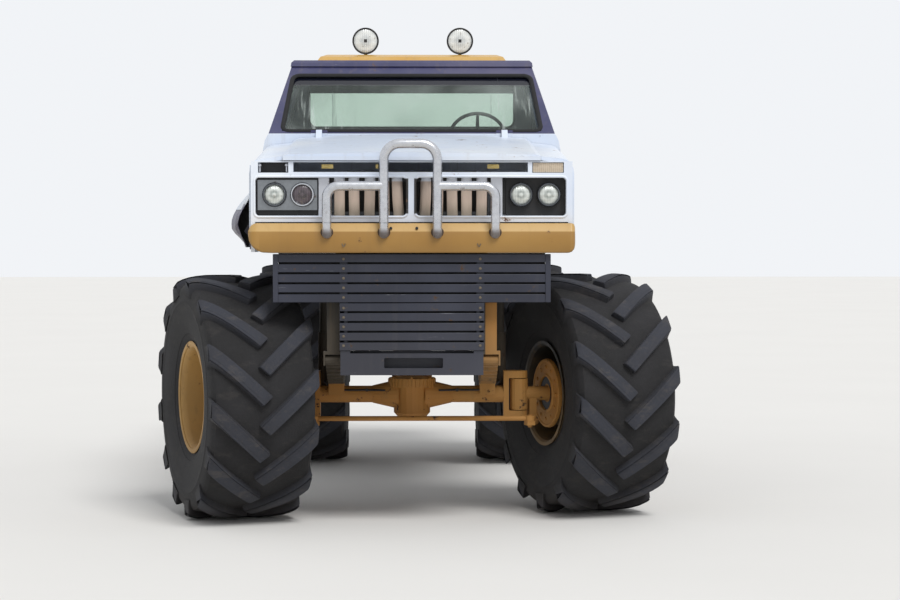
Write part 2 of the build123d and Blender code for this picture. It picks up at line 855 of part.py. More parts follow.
def fender_apron():
    # The inner wall of the wheel house, hanging from the gutter beside the hood.
    x = (hood_half + panel_gap, hood_half + panel_gap + 14)
    sections = []
    front, rear = grille_y + panel_thick, door_front_y - fender_gap
    for y in (grille_y + core_back + 70, cowl_y - 60):
        top = fender_top + 10 + fender_climb * (y - front) / (rear - front)
        sections.append([(x[0], y, floor_top), (x[1], y, floor_top), (x[1], y, top), (x[0], y, top)])
    return ruled(*sections)


def left_fender():
    return fender_skin() + fender_apron()


def right_fender():
    # The rear lower corner is bent outwards.
    shape = other_side(left_fender())
    rear = door_front_y - fender_gap
    b, s = -body_half, skin
    shape -= block((b - 1, b + s + rocker_tuck + 1), (rear - 175, rear + 1), (body_bottom - 1, bend_top))
    sections = []
    for z, out in ((bend_top, 0), (body_bottom + 122, bend_out), (body_bottom, -4)):
        sections.append([(b - out, rear - 175, z), (b - out * 1.05, rear, z), (b - out * 1.05 + s, rear, z),
                         (b - out + s, rear - 175, z)])
    return shape + ruled(*sections)


def hood_section(y, edge, top):
    h, t = hood_half, hood_thick
    upper = [(-h, edge), (-h * 0.96, edge + (top - edge) * 0.4), (-h * 0.62, top - 8), (-h * 0.2, top),
             (h * 0.2, top), (h * 0.62, top - 8), (h * 0.96, edge + (top - edge) * 0.4), (h, edge)]
    lower = [(x, z - t) for x, z in reversed(upper)]
    return [(x, y, z) for x, z in upper + lower]


def hood():
    front, rear = grille_y - 10, cab_front_y - panel_gap
    shell = ruled(hood_section(front, hood_front_edge, hood_front_top),
                  hood_section(rear, hood_rear_edge, hood_rear_top))
    lip = block((-hood_half, hood_half), (front - 8, front + 22), (panel_top + running, hood_front_edge))
    straps = []
    y, z = hood_pin_y, hood_pin_z
    for x in hood_hinge_x:
        outline = [(rear - 60, hood_rear_edge - 5), (rear, hood_rear_edge), (rear, belt_z + running),
                   (y, belt_z + running), (y, z + hinge_barrel - 2), (rear, z + hinge_barrel - 4),
                   (rear - 60, hood_rear_edge + 20)]
        strap = prism_x(outline, (x - 20, x + 20))
        straps.append(strap + disc_x((x - 20, x + 20), hinge_barrel, y, z, 16))
    shell = shell.fuse(lip, *straps)
    for x in hood_hinge_x:
        shell -= disc_x((x - 21, x + 21), hinge_pin + slip, y, z)
    return shell


def radiator():
    # The core and the support that stands on the rails and holds the fenders and the grille panel.
    y = (grille_y + core_back, grille_y + core_back + 60)
    core = block((-400, 400), y, (floor_top, panel_top - 56))
    wide = body_half - skin
    high = (panel_top - 156, panel_top - 96)
    low = (body_bottom + 172, body_bottom + 212)
    foot = block((rail_x - rail_width / 2, rail_x + rail_width / 2), y, (rail_top, high[1]))
    bar = block((0, wide), (y[0], y[0] + 25), high) + block((0, wide), (y[0], y[0] + 25), low)
    arm = block((wide - 12, wide), (grille_y + panel_thick, y[0]), low)
    return core + both_sides(foot + bar + arm)


# Cab

def greenhouse(x_low, x_high, y_low, y_high, z):
    # Each pair gives half width or y range at the belt and at the roof.
    points = []
    for half, y, level in ((x_low, y_low, z[0]), (x_high, y_high, z[1])):
        points += [(side * half, end, level) for end in y for side in (-1, 1)]
    return ConvexPolyhedron(points)


def lean(z):
    # Half width of the greenhouse at a height.
    share = (z - belt_z) / (roof_z - belt_z)
    return belt_half + (roof_half - belt_half) * share


def rake(z):
    # y of the windscreen's outer face at a height.
    share = (z - belt_z) / (roof_z - belt_z)
    return cowl_y + screen_rake * share


def door_window(inset):
    # Outline of the side opening above the belt, in y and z, shrunk by inset.
    front = 105 + inset
    top = window_top - inset
    return [(rake(belt_z - 20) + front, belt_z - 20), (rake(top) + front, top), (door_rear_y - inset, top),
            (door_rear_y - inset, belt_z - 20)]


def screen_outline():
    # The windscreen seen from the front.
    low, high = belt_z + 24, window_top - 4
    top_half = lean(high) - 30
    return [(-screen_half, low), (screen_half, low), (top_half, high), (-top_half, high)]


def cab_shell():
    front = cab_front_y
    lower = block((-body_half, body_half), (front, cab_back_y), (body_bottom, belt_z))
    x = (-body_half + door_thick, body_half - door_thick)
    lower -= block(x, (front + cab_wall, cab_back_y - cab_wall), (floor_top, belt_z - cab_wall))
    lower -= block(x, (cowl_y + screen_wall, cab_back_y - cab_wall), (belt_z - cab_wall - 1, belt_z + 1))
    inner_side = body_half - skin - rocker_tuck - panel_gap
    cowl_side = block((inner_side, body_half + 1), (front - 1, door_front_y), (body_bottom - 1, cowl_seam_z))
    lower = lower - cowl_side - other_side(cowl_side)
    outside = (body_half - door_thick - 1, body_half + 1)
    doorway = block(outside, (door_front_y, door_rear_y), (sill_z, belt_z + 1))
    swing = block(outside, (door_front_y - fender_gap, door_front_y + 1), (cowl_seam_z - 1, belt_z + 1))
    for cut in (doorway, swing):
        lower = lower - cut - other_side(cut)
    lower = lower.cut(*body_side((front - 1, cab_back_y + 1)))
    top_low = (cowl_y, cab_back_y)
    outer = greenhouse(belt_half, roof_half, top_low, (header_y, cab_back_y - 15), (belt_z, roof_z))
    hollow_top = roof_z - pillar
    low_y = (cowl_y + screen_wall, cab_back_y - pillar)
    high_y = (rake(hollow_top) + screen_wall, cab_back_y - 15 - pillar)
    widths = (lean(belt_z) - pillar, lean(hollow_top) - pillar)
    inner = greenhouse(*widths, low_y, high_y, (belt_z - 1, hollow_top))
    shape = lower + outer - inner
    shape -= prism_y(screen_outline(), (cowl_y - 60, cowl_y + screen_rake + 110))
    through = (cab_back_y - 120, cab_back_y + 20)
    shape -= round_hole((-rear_window_half, rear_window_half), rear_window_z, through, 60)
    side = prism_x(door_window(0), (belt_half - 260, belt_half + 10))
    side = side - block((belt_half - 300, belt_half + 20), (cowl_y - 50, cab_back_y), (belt_z - 60, belt_z))
    shape = shape - side - other_side(side)
    arms = []
    for z in door_hinge_z:
        arm = prism_z([(-43, -20), (-22, -20), (-22, -6), (7, -6), (7, 8), (-43, 8)], (-28, 28))
        pin = rod((0, 0, -54), (0, 0, 54), hinge_pin, 12)
        arms.append(Pos(door_pin_x, door_pin_y, z) * (arm + pin))
    for x in (hood_hinge_x[1] - 38, hood_hinge_x[1] + 38):
        ear = block((x - 17, x + 17), (cab_front_y, hood_pin_y + 12), (belt_z - 1, hood_pin_z + 9))
        arms.append(ear)
    arms.append(disc_x((hood_hinge_x[1] - 40, hood_hinge_x[1] + 40), hinge_pin, hood_pin_y, hood_pin_z, 12))
    both = arms + [other_side(arm) for arm in arms]
    return shape.fuse(*both)


def roof():
    # columns: z, half width, y front, y rear
    step = roof_z + 44
    base = ((roof_z, roof_half + 6, header_y - 14, cab_back_y - 6),
            (roof_z + 26, roof_half + 2, header_y - 8, cab_back_y - 12),
            (step, roof_half - 16, header_y + 14, cab_back_y - 30))
    crown = ((step, roof_half - 177, header_y + 50, cab_back_y - 70),
             (step + 30, roof_half - 196, header_y + 78, cab_back_y - 96),
             (roof_z + roof_rise, roof_half - 240, header_y + 140, cab_back_y - 150))
    layers = []
    for table in (base, crown):
        rings = [[(-w, a, z), (w, a, z), (w, b, z), (-w, b, z)] for z, w, a, b in table]
        layers.append(ruled(*rings))
    return layers[0] + layers[1]


def cab_glass():
    # Windscreen and rear window.
    z = (belt_z + 24, window_top - 4)
    run = 26
    low, high = rake(z[0]) + run, rake(z[1]) + run
    thick = glass_thick * 1.5
    section = [(low, z[0]), (low + thick, z[0]), (high + thick, z[1]), (high, z[1])]
    slab = prism_x(section, (-belt_half, belt_half))
    outline = prism_y(screen_outline(), (cowl_y - 60, cowl_y + screen_rake + 200))
    rear_y = (cab_back_y - 38, cab_back_y - 38 + glass_thick)
    rear = round_hole((-rear_window_half, rear_window_half), rear_window_z, rear_y, 60)
    return Compound(children=[slab & outline, rear])


def dash():
    y = cab_front_y + cab_wall
    top = belt_z - 8
    shelf = y + screen_wall + 8
    outline = [(y, top - 222), (y + 150, top - 222), (y + 250, top - 172), (y + 250, top - 22),
               (y + 190, top), (shelf, top), (shelf, top - 37), (y, top - 37)]
    half = body_half - door_thick - 2 * running
    return prism_x(outline, (-half, half))


def steering_wheel():
    half = wheel_grip / 2
    face = RegularPolygon(wheel_ring + half, 24) - RegularPolygon(wheel_ring - half, 24)
    ring = extrude(face, amount=half, both=True)
    hub = upright((-20, 20), 38)
    spokes = [Rot(0, 0, a) * block((0, wheel_ring), (-14, 14), (-6, 6)) for a in (20, 160, 270)]
    shape = ring.fuse(hub, *spokes)
    column = upright((-230, 0), 26)
    return Pos(*wheel_centre) * Rot(wheel_tilt - 90, 0, 0) * (shape + column) - dash()


def bench_seat():
    # Base and cushion, then the leaning back rest.
    half = body_half - 310
    front, back = cab_back_y - 790, cab_back_y - 260
    z = floor_top
    outline = [(front + 40, z), (back + 100, z), (back + 100, z + 280), (back + 170, z + 800),
               (back + 120, z + 840), (back + 30, z + 830), (back - 60, z + 370), (front + 30, z + 370),
               (front, z + 340), (front, z + 200)]
    return prism_x(outline, (-half, half))


def door(side):
    front, rear = door_front_y + panel_gap, door_rear_y - panel_gap
    outer, inner = body_half, body_half - door_thick
    low_belt = belt_z - panel_gap
    lower = block((inner, outer), (front, rear), (sill_z + panel_gap, low_belt))
    pocket = block((inner - 1, inner + 12), (front + 90, rear - 120), (sill_z + 120, belt_z - 330))
    lower -= pocket
    low, high = lean(low_belt), lean(roof_z)
    slab = prism_y([(low - door_frame, low_belt - 1), (low, low_belt - 1), (high, roof_z),
                    (high - door_frame, roof_z)], (cowl_y - 50, cab_back_y))
    wide = (roof_half - door_thick, body_half)
    ring = prism_x(door_window(panel_gap + 4), wide)
    ring -= prism_x(door_window(frame_inset), (wide[0] - 1, wide[1] + 1))
    lower = lower.cut(*body_side((front - 1, rear + 1)))
    shape = lower + (slab & ring)
    for z in door_hinge_z:
        shape -= block((inner - 1, door_pin_x + 10), (front - 1, door_pin_y + 20), (z - 34, z + 34))
        shape -= Pos(door_pin_x, door_pin_y, z) * Cylinder(hinge_pin + slip, 112)
    shape += block((outer - 10, outer + 26), (rear - 190, rear - 60), (fender_top + 10, fender_top + 32))
    return shape if side > 0 else other_side(shape)


def door_glass(side):
    a, b = 0.5 * door_frame - glass_thick / 2, 0.5 * door_frame + glass_thick / 2
    slab = prism_y([(lean(belt_z) - b, belt_z), (lean(belt_z) - a, belt_z), (lean(roof_z) - a, roof_z),
                    (lean(roof_z) - b, roof_z)], (cowl_y - 50, cab_back_y))
    shape = slab & prism_x(door_window(frame_inset), (roof_half - door_thick, body_half))
    return shape if side > 0 else other_side(shape)


# Load bed

def bed():
    b, w = body_half, bed_wall
    y = (bed_front_y, bed_end_y + tail_gap + tail_thick)
    shape = block((-b, b), y, (body_bottom, belt_z))
    shape -= block((-b + w, b - w), (y[0] + w / 2, bed_end_y - 40), (bed_floor + bed_floor_thick, belt_z + 1))
    deck = bed_floor + bed_floor_thick
    shape -= block((-tail_half, tail_half), (bed_end_y - 41, y[1] + 1), (deck, belt_z + 1))
    shape -= block((-tail_half, tail_half), (bed_end_y, y[1] + 1), (bed_floor - 60, belt_z + 1))
    shape -= block((-b + 40, b - 40), (y[0] + 40, bed_end_y - 40), (body_bottom - 1, bed_floor))
    shape -= block((-tail_half, tail_half), (bed_end_y - 41, y[1] + 1), (body_bottom - 1, bed_floor))
    shape = shape.cut(*body_side((y[0] - 1, y[1] + 1)))
    house = disc_x((b - house_reach, b - w / 2), arch_radius + 24, rear_axle_y, arch_z, arch_sides)
    house &= block((0, b), (y[0], y[1]), (bed_floor, belt_z))
    shape += both_sides(house)
    arch = disc_x((b - house_reach + 15, b + 1), arch_radius, rear_axle_y, arch_z, arch_sides)
    shape = shape - arch - other_side(arch)
    pin = disc_x((tail_half - 22, tail_half + 5), tail_pin, tail_pin_y, tail_pin_z)
    return shape + pin + other_side(pin)


def bed_mounts():
    # Cross sills between the rails' top and the bed floor.
    out = []
    for y in (bed_front_y + 120, rear_axle_y - 520, rear_axle_y + 480, bed_end_y - 140):
        out.append(block((-body_half + 60, body_half - 60), (y - 40, y + 40), (bed_floor - 60, bed_floor)))
        leg = block((rail_x - 30, rail_x + 30), (y - 40, y + 40), (rail_top, bed_floor - 60))
        out += [leg, other_side(leg)]
    return out


def tailgate():
    y = (bed_end_y + tail_gap, bed_end_y + tail_gap + tail_thick)
    x = (-tail_half + running, tail_half - running)
    plate = block(x, y, (bed_floor - 10, belt_z - 10))
    plate -= round_hole((-560, 560), (bed_floor + 120, belt_z - 130), (y[1] - 6, y[1] + 1), 30)
    socket = disc_x((x[1] - 22, x[1] + 1), tail_pin + slip, tail_pin_y, tail_pin_z)
    return plate - socket - other_side(socket)


def tail_lamps():
    y = bed_end_y + tail_gap + tail_thick
    one = block((tail_half + 70, tail_half + 170), (y, y + 16), (bed_floor + 160, bed_floor + 440))
    return Compound(children=[one, other_side(one)])


def roof_lamps():
    out = []
    for x in roof_lamp_x:
        z = roof_z + roof_rise + 97
        y = header_y + 150
        bowl = rod((x, y, z), (x, y + 40, z), 94, lamp_sides)
        bowl += rod((x, y + 40, z), (x, y + 95, z), 60, lamp_sides)
        stalk = block((x - 14, x + 14), (y + 30, y + 62), (roof_z + roof_rise, z - 50))
        out.append(bowl + stalk)
    return Compound(children=out)


pieces = {
    "frame_rails": frame_rails(),
    "cross_members": cross_members(),
    "frame_brackets": frame_brackets(),
    "leaf_springs": leaf_springs(),
    "shock_absorbers": shock_absorbers(),
    "front_axle": front_axle(),
    "rear_axle": rear_axle(),
    "engine": engine(),
    "gearbox": gearbox(),
    "driveshafts": driveshafts(),
    "slatted_guards": slatted_guards(),
    "front_step": front_step(),
    "bumper": bumper(),
    "brush_guard": brush_guard(),
    "radiator": radiator(),
    "grille_panel": grille_panel(),
    "grille_slats": grille_slats(),
    "left_headlamps": headlamps(1, False),
    "right_headlamps": headlamps(-1, True),
    "parking_lamp": parking_lamp(),
    "left_fender": left_fender(),
    "right_fender": right_fender(),
    "hood": hood(),
    "cab": cab_shell(),
    "roof": roof(),
    "cab_glass": cab_glass(),
    "dash": dash(),
    "steering_wheel": steering_wheel(),
    "bench_seat": bench_seat(),
    "left_door": door(1),
    "right_door": door(-1),
    "left_door_glass": door_glass(1),
    "right_door_glass": door_glass(-1),
    "bed": bed().fuse(*bed_mounts()),
    "tailgate": tailgate(),
    "tail_lamps": tail_lamps(),
    "roof_lamps": roof_lamps(),
    "left_knuckle": knuckle(1),
    "right_knuckle": knuckle(-1),
    "tie_rod": tie_rod(),
}

one_tyre = tyre()
one_rim = rim()
for end, front in (("front", True), ("rear", False)):
    for name, side in (("left", 1), ("right", -1)):
        place = wheel_place(side, front)
        flip = other_side if side < 0 else (lambda shape: shape)
        pieces[f"{end}_{name}_tyre"] = place * parked_roll(side, front) * flip(one_tyre)
        pieces[f"{end}_{name}_rim"] = place * flip(one_rim)

for name, shape in pieces.items():
    export_step(shape, f"parts/{name}.step")
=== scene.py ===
import json
import math
import bmesh
import bpy
import numpy as np
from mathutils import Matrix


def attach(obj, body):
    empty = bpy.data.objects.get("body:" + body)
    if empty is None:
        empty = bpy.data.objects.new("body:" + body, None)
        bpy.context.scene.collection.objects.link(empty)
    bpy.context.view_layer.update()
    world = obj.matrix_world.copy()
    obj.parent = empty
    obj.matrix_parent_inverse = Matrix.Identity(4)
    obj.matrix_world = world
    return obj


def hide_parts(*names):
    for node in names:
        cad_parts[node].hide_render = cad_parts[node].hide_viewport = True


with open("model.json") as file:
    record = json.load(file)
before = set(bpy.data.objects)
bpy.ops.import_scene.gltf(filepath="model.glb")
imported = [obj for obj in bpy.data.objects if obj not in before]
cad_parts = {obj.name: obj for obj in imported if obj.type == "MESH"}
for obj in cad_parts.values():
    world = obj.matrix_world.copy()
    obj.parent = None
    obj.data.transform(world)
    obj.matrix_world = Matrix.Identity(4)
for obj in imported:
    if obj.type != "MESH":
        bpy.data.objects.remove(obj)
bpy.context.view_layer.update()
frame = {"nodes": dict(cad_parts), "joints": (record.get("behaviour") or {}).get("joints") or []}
nodes = frame["nodes"]
joints = {j["name"]: j for j in frame["joints"]}


class Signal:
    # a socket that takes + - * /; each of them adds one Math node
    def __init__(self, finish, socket):
        self.finish = finish
        self.socket = socket

    def maths(self, operation, *terms):
        return self.finish.node("ShaderNodeMath", {"operation": operation}, list(terms))

    def __add__(self, other):
        return self.maths("ADD", self, other)

    def __radd__(self, other):
        return self.maths("ADD", other, self)

    def __sub__(self, other):
        return self.maths("SUBTRACT", self, other)

    def __rsub__(self, other):
        return self.maths("SUBTRACT", other, self)

    def __mul__(self, other):
        return self.maths("MULTIPLY", self, other)

    def __rmul__(self, other):
        return self.maths("MULTIPLY", other, self)

    def __truediv__(self, other):
        return self.maths("DIVIDE", self, other)

    def most(self, other):
        return self.maths("MAXIMUM", self, other)

    def least(self, other):
        return self.maths("MINIMUM", self, other)

    def size(self):
        return self.maths("ABSOLUTE", self)

    def wave(self):
        return self.maths("SINE", self)

    def ramp(self, low, high):
        # 0 below low, 1 above high, a smooth step between them
        return self.finish.node("ShaderNodeMapRange", {"interpolation_type": "SMOOTHSTEP"},
                                {"Value": self, "From Min": low, "From Max": high})

    def past(self, edge, soft):
        # 0 before an edge and 1 past it, softened by the same amount on both sides
        return self.ramp(edge - soft, edge + soft)

    def between(self, low, high, soft):
        # 1 from low to high, softened just past each of them
        return self.ramp(low, low + soft) * (1 - self.ramp(high, high + soft))

    def part(self, index):
        return Signal(self.finish, self.socket.node.outputs[index])


def tone(red, green, blue):
    # an 8 bit screen colour as the linear colour that a shader takes
    share = np.array([red, green, blue]) / 255.0
    linear = np.where(share <= 0.04045, share / 12.92, ((share + 0.055) / 1.055) ** 2.4)
    return (*[float(v) for v in linear], 1.0)


class Finish:
    # one material; node() makes any node from its type, its settings and the values or links of its sockets
    def __init__(self, name):
        self.material = bpy.data.materials.new(name)
        self.material.use_nodes = True
        self.tree = self.material.node_tree
        self.tree.nodes.clear()
        self.place = self.node("ShaderNodeTexCoord", {}, {}, "Object")
        split = self.node("ShaderNodeSeparateXYZ", {}, {"Vector": self.place})
        self.x, self.y, self.z = split, split.part(1), split.part(2)

    def node(self, kind, settings, values, output=0):
        made = self.tree.nodes.new(kind)
        for key, value in settings.items():
            setattr(made, key, value)
        pairs = values.items() if isinstance(values, dict) else enumerate(values)
        for key, value in pairs:
            if isinstance(value, Signal):
                self.tree.links.new(value.socket, made.inputs[key])
            else:
                made.inputs[key].default_value = value
        return Signal(self, made.outputs[output]) if len(made.outputs) else None

    def at(self, stretch):
        # object coordinates, scaled along each axis where a stretch is given
        if not stretch:
            return self.place
        return self.node("ShaderNodeMapping", {}, {"Vector": self.place, "Scale": stretch})

    def noise(self, scale, detail=3.0, rough=0.5, stretch=None):
        return self.node("ShaderNodeTexNoise", {},
                         {"Vector": self.at(stretch), "Scale": scale, "Detail": detail, "Roughness": rough})

    def cells(self, scale, feature="F1", stretch=None):
        return self.node("ShaderNodeTexVoronoi", {"feature": feature},
                         {"Vector": self.at(stretch), "Scale": scale})

    def mix(self, share, first, second):
        return self.node("ShaderNodeMix", {"data_type": "RGBA"}, {0: share, 6: first, 7: second}, 2)

    def attribute(self, name):
        return self.node("ShaderNodeAttribute", {"attribute_name": name}, {}, "Fac")

    def surface(self, colour, roughness=0.6, metallic=0.0, height=None, depth=0.004, bump=0.5, **plain):
        values = {"Base Color": colour, "Roughness": roughness, "Metallic": metallic}
        if height is not None:
            values["Normal"] = self.node("ShaderNodeBump", {},
                                         {"Strength": bump, "Distance": depth, "Height": height})
        for key, value in plain.items():
            values[key.replace("_", " ")] = value
        shader = self.node("ShaderNodeBsdfPrincipled", {}, values)
        self.node("ShaderNodeOutputMaterial", {}, {"Surface": shader})
        return self.material


def agedPaint(name, look, second=None, where=None):
    # old coachwork: fading in broad patches, runs of dirt, dust low down, chips that rust at their rims;
    # a second colour takes the share that where() gives
    f = Finish(name)
    broad = f.noise(1.1, 4, 0.6)
    fine = f.noise(21, 5, 0.6)
    grit = f.noise(170, 2)
    runs = f.noise(2.4, 5, 0.6, stretch=(8.0, 8.0, 0.55))
    fading = broad.ramp(0.38, 0.66)
    colour = f.mix(fading, look["colour"], look["faded"])
    if second:
        colour = f.mix(where(f), colour, f.mix(fading, second["colour"], second["faded"]))
    low = 1 - f.z.ramp(*look["dustFrom"])
    dust = (low * 0.7 + broad.ramp(0.45, 0.7) * 0.35 + runs.ramp(0.52, 0.72) * 0.45) * look["dust"]
    colour = f.mix(dust.least(0.9), colour, look["dustColour"])
    pits = f.noise(look["chipScale"], 8, 0.68)
    edge = look["chips"]
    stain = pits.ramp(edge - 0.045, edge + 0.02)
    chips = pits.ramp(edge, edge + 0.012)
    colour = f.mix(stain * 0.75, colour, look["stain"])
    colour = f.mix(chips, colour, f.mix(fine, look["rust"], look["rustDark"]))
    scratch = f.noise(3.1, 6, 0.7, stretch=look["scratchRun"]).ramp(0.66, 0.69)
    colour = f.mix(scratch * look["scratches"], colour, look["scratchColour"])
    rough = look["gloss"] + dust * 0.35 + chips * 0.4 + fine * 0.12
    height = fine * 0.12 + grit * 0.06 - chips * 0.9 - scratch * 0.3
    return f.surface(colour, rough.least(0.95), 0.0, height, 0.0022, 0.45,
                     Coat_Weight=look["coat"], Coat_Roughness=0.25)


whiteLook = {
    "colour": tone(206, 216, 232), "faded": tone(226, 232, 240), "dust": 0.30, "dustFrom": (1.7, 2.12),
    "dustColour": tone(168, 158, 140), "chipScale": 7.5, "chips": 0.665, "stain": tone(150, 116, 84),
    "rust": tone(112, 66, 40), "rustDark": tone(60, 42, 34), "scratchRun": (0.7, 9.0, 9.0), "scratches": 0.5,
    "scratchColour": tone(120, 122, 126), "gloss": 0.34, "coat": 0.25,
}
navyLook = {
    "colour": tone(44, 45, 84), "faded": tone(66, 66, 104), "dust": 0.42, "dustFrom": (1.65, 2.3),
    "dustColour": tone(128, 116, 100), "chipScale": 6.0, "chips": 0.675, "stain": tone(84, 66, 62),
    "rust": tone(132, 78, 44), "rustDark": tone(72, 46, 36), "scratchRun": (9.0, 0.8, 9.0), "scratches": 0.35,
    "scratchColour": tone(120, 118, 128), "gloss": 0.32, "coat": 0.3,
}
goldLook = {
    "colour": tone(198, 152, 72), "faded": tone(208, 168, 92), "dust": 0.32, "dustFrom": (1.62, 1.9),
    "dustColour": tone(150, 128, 92), "chipScale": 8.0, "chips": 0.67, "stain": tone(134, 96, 52),
    "rust": tone(98, 62, 38), "rustDark": tone(52, 40, 32), "scratchRun": (1.2, 9.0, 7.0), "scratches": 0.45,
    "scratchColour": tone(116, 96, 66), "gloss": 0.40, "coat": 0.15,
}
bumperLook = {
    "colour": tone(150, 110, 46), "faded": tone(164, 124, 58), "dust": 0.25, "dustFrom": (1.66, 1.8),
    "dustColour": tone(126, 96, 56), "chipScale": 8.0, "chips": 0.68, "stain": tone(108, 74, 40),
    "rust": tone(92, 60, 38), "rustDark": tone(48, 38, 30), "scratchRun": (1.2, 9.0, 7.0), "scratches": 0.45,
    "scratchColour": tone(112, 92, 62), "gloss": 0.40, "coat": 0.15,
}
axleLook = {
    "colour": tone(176, 116, 42), "faded": tone(186, 132, 60), "dust": 0.5, "dustFrom": (0.4, 1.3),
    "dustColour": tone(136, 108, 70), "chipScale": 13.0, "chips": 0.64, "stain": tone(104, 74, 44),
    "rust": tone(78, 54, 38), "rustDark": tone(40, 33, 28), "scratchRun": (4.0, 4.0, 4.0), "scratches": 0.3,
    "scratchColour": tone(84, 70, 52), "gloss": 0.55, "coat": 0.0,
}
rimLook = {
    "colour": tone(172, 130, 66), "faded": tone(186, 146, 80), "dust": 0.7, "dustFrom": (0.3, 1.1),
    "dustColour": tone(132, 106, 68), "chipScale": 10.0, "chips": 0.655, "stain": tone(112, 82, 48),
    "rust": tone(90, 60, 38), "rustDark": tone(48, 38, 30), "scratchRun": (6.0, 6.0, 0.8), "scratches": 0.5,
    "scratchColour": tone(104, 84, 54), "gloss": 0.5, "coat": 0.05,
}
guardLook = {
    "colour": tone(27, 30, 44), "faded": tone(38, 42, 58), "dust": 0.22, "dustFrom": (0.95, 1.5),
    "dustColour": tone(86, 82, 80), "chipScale": 11.0, "chips": 0.67, "stain": tone(66, 58, 54),
    "rust": tone(96, 66, 46), "rustDark": tone(44, 38, 34), "scratchRun": (0.9, 9.0, 9.0), "scratches": 0.6,
    "scratchColour": tone(112, 112, 118), "gloss": 0.45, "coat": 0.08,
}
chassisLook = {
    "colour": tone(34, 32, 30), "faded": tone(46, 43, 39), "dust": 0.65, "dustFrom": (0.8, 1.75),
    "dustColour": tone(96, 84, 66), "chipScale": 9.0, "chips": 0.63, "stain": tone(62, 48, 38),
    "rust": tone(86, 56, 38), "rustDark": tone(44, 34, 28), "scratchRun": (5.0, 2.0, 5.0), "scratches": 0.25,
    "scratchColour": tone(90, 84, 76), "gloss": 0.55, "coat": 0.0,
}
paintEdges = {"crown": 3.004, "cowlBack": -1.135, "cowlTop": 2.476, "side": 0.9845, "sideFrom": -2.33,
              "springs": 0.0, "shoulder": 1.826}
dividerShadeEdges = {"x": -0.004, "half": 0.0165, "reach": 0.05, "low": 1.93, "high": 2.146}
flareLine = {"z": 2.02, "y": -1.3, "slope": 0.09}
postEdges = {"left": 0.45, "right": 0.56, "top": 1.385, "back": -2.2}


def crownShare(f):
    # the roof's crown is gold above a navy header
    return f.z.past(paintEdges["crown"], 0.0005)


def cowlShare(f):
    # in front of the windscreen the cab is white like the hood
    return (1 - f.y.past(paintEdges["cowlBack"], 0.002)) * (1 - f.z.past(paintEdges["cowlTop"], 0.002))


def sideShare(f):
    # only the outer sides of the fenders are navy
    return f.x.size().past(paintEdges["side"], 0.0015) * f.y.past(paintEdges["sideFrom"], 0.01)


def driverShare(f):
    # the spring packs on the driver's side take the axle's gold; on the other side they keep the dark chassis
    # colour as painted shade
    return f.x.past(paintEdges["springs"], 0.01)


def shoulderShare(f):
    # the bumper's sloping shoulder has faded to a paler gold
    return f.z.past(paintEdges["shoulder"], 0.004)


def dividerShadeShare(f):
    # painted shade: the return flanges either side of the grille's centre bar are black
    off = (f.x - dividerShadeEdges["x"]).size()
    return off.between(dividerShadeEdges["half"], dividerShadeEdges["reach"], 0.002) * (
        f.z.between(dividerShadeEdges["low"], dividerShadeEdges["high"], 0.01))


def flareShare(f):
    # the bent side is navy below a slanting line that rises towards the rear
    above = f.z - flareLine["z"] - (f.y - flareLine["y"]) * flareLine["slope"]
    return 1 - above.past(0.0, 0.004)


def postShare(f):
    # the driver's side guard post is gold from the upper guard down; the post on the other side keeps the
    # dark chassis colour as painted shade
    low = 1 - f.z.ramp(postEdges["top"], postEdges["top"] + 0.005)
    front = 1 - f.y.ramp(postEdges["back"], postEdges["back"] + 0.01)
    return f.x.between(postEdges["left"], postEdges["right"], 0.005) * low * front


panelWhite = dict(whiteLook, colour=tone(214, 222, 236), faded=tone(234, 239, 246), dust=0.12,
                  dustFrom=(1.6, 1.98))
bumperTop = dict(goldLook, colour=tone(186, 148, 84), faded=tone(196, 160, 98))
whitePaint = agedPaint("whitePaint", whiteLook)
navyPaint = agedPaint("navyPaint", navyLook)
goldPaint = agedPaint("goldPaint", goldLook)
axlePaint = agedPaint("axlePaint", axleLook)
guardPaint = agedPaint("guardPaint", guardLook)
chassisPaint = agedPaint("chassisPaint", chassisLook)
flarePaint = agedPaint("flarePaint", whiteLook, navyLook, flareShare)
postPaint = agedPaint("postPaint", chassisLook, axleLook, postShare)
# the grille panel's white, with painted shade in black on the flanges beside its centre bar
panelPaint = agedPaint("panelPaint", panelWhite, chassisLook, dividerShadeShare)
bumperPaint = agedPaint("bumperPaint", bumperLook, bumperTop, shoulderShare)
roofPaint = agedPaint("roofPaint", navyLook, goldLook, crownShare)
cabPaint = agedPaint("cabPaint", navyLook, whiteLook, cowlShare)
fenderPaint = agedPaint("fenderPaint", whiteLook, navyLook, sideShare)
# the rim's paint is darker on its inner side
rimPaint = agedPaint("rimPaint", rimLook, chassisLook, lambda f: f.attribute("wear"))
springPaint = agedPaint("springPaint", chassisLook, axleLook, driverShare)


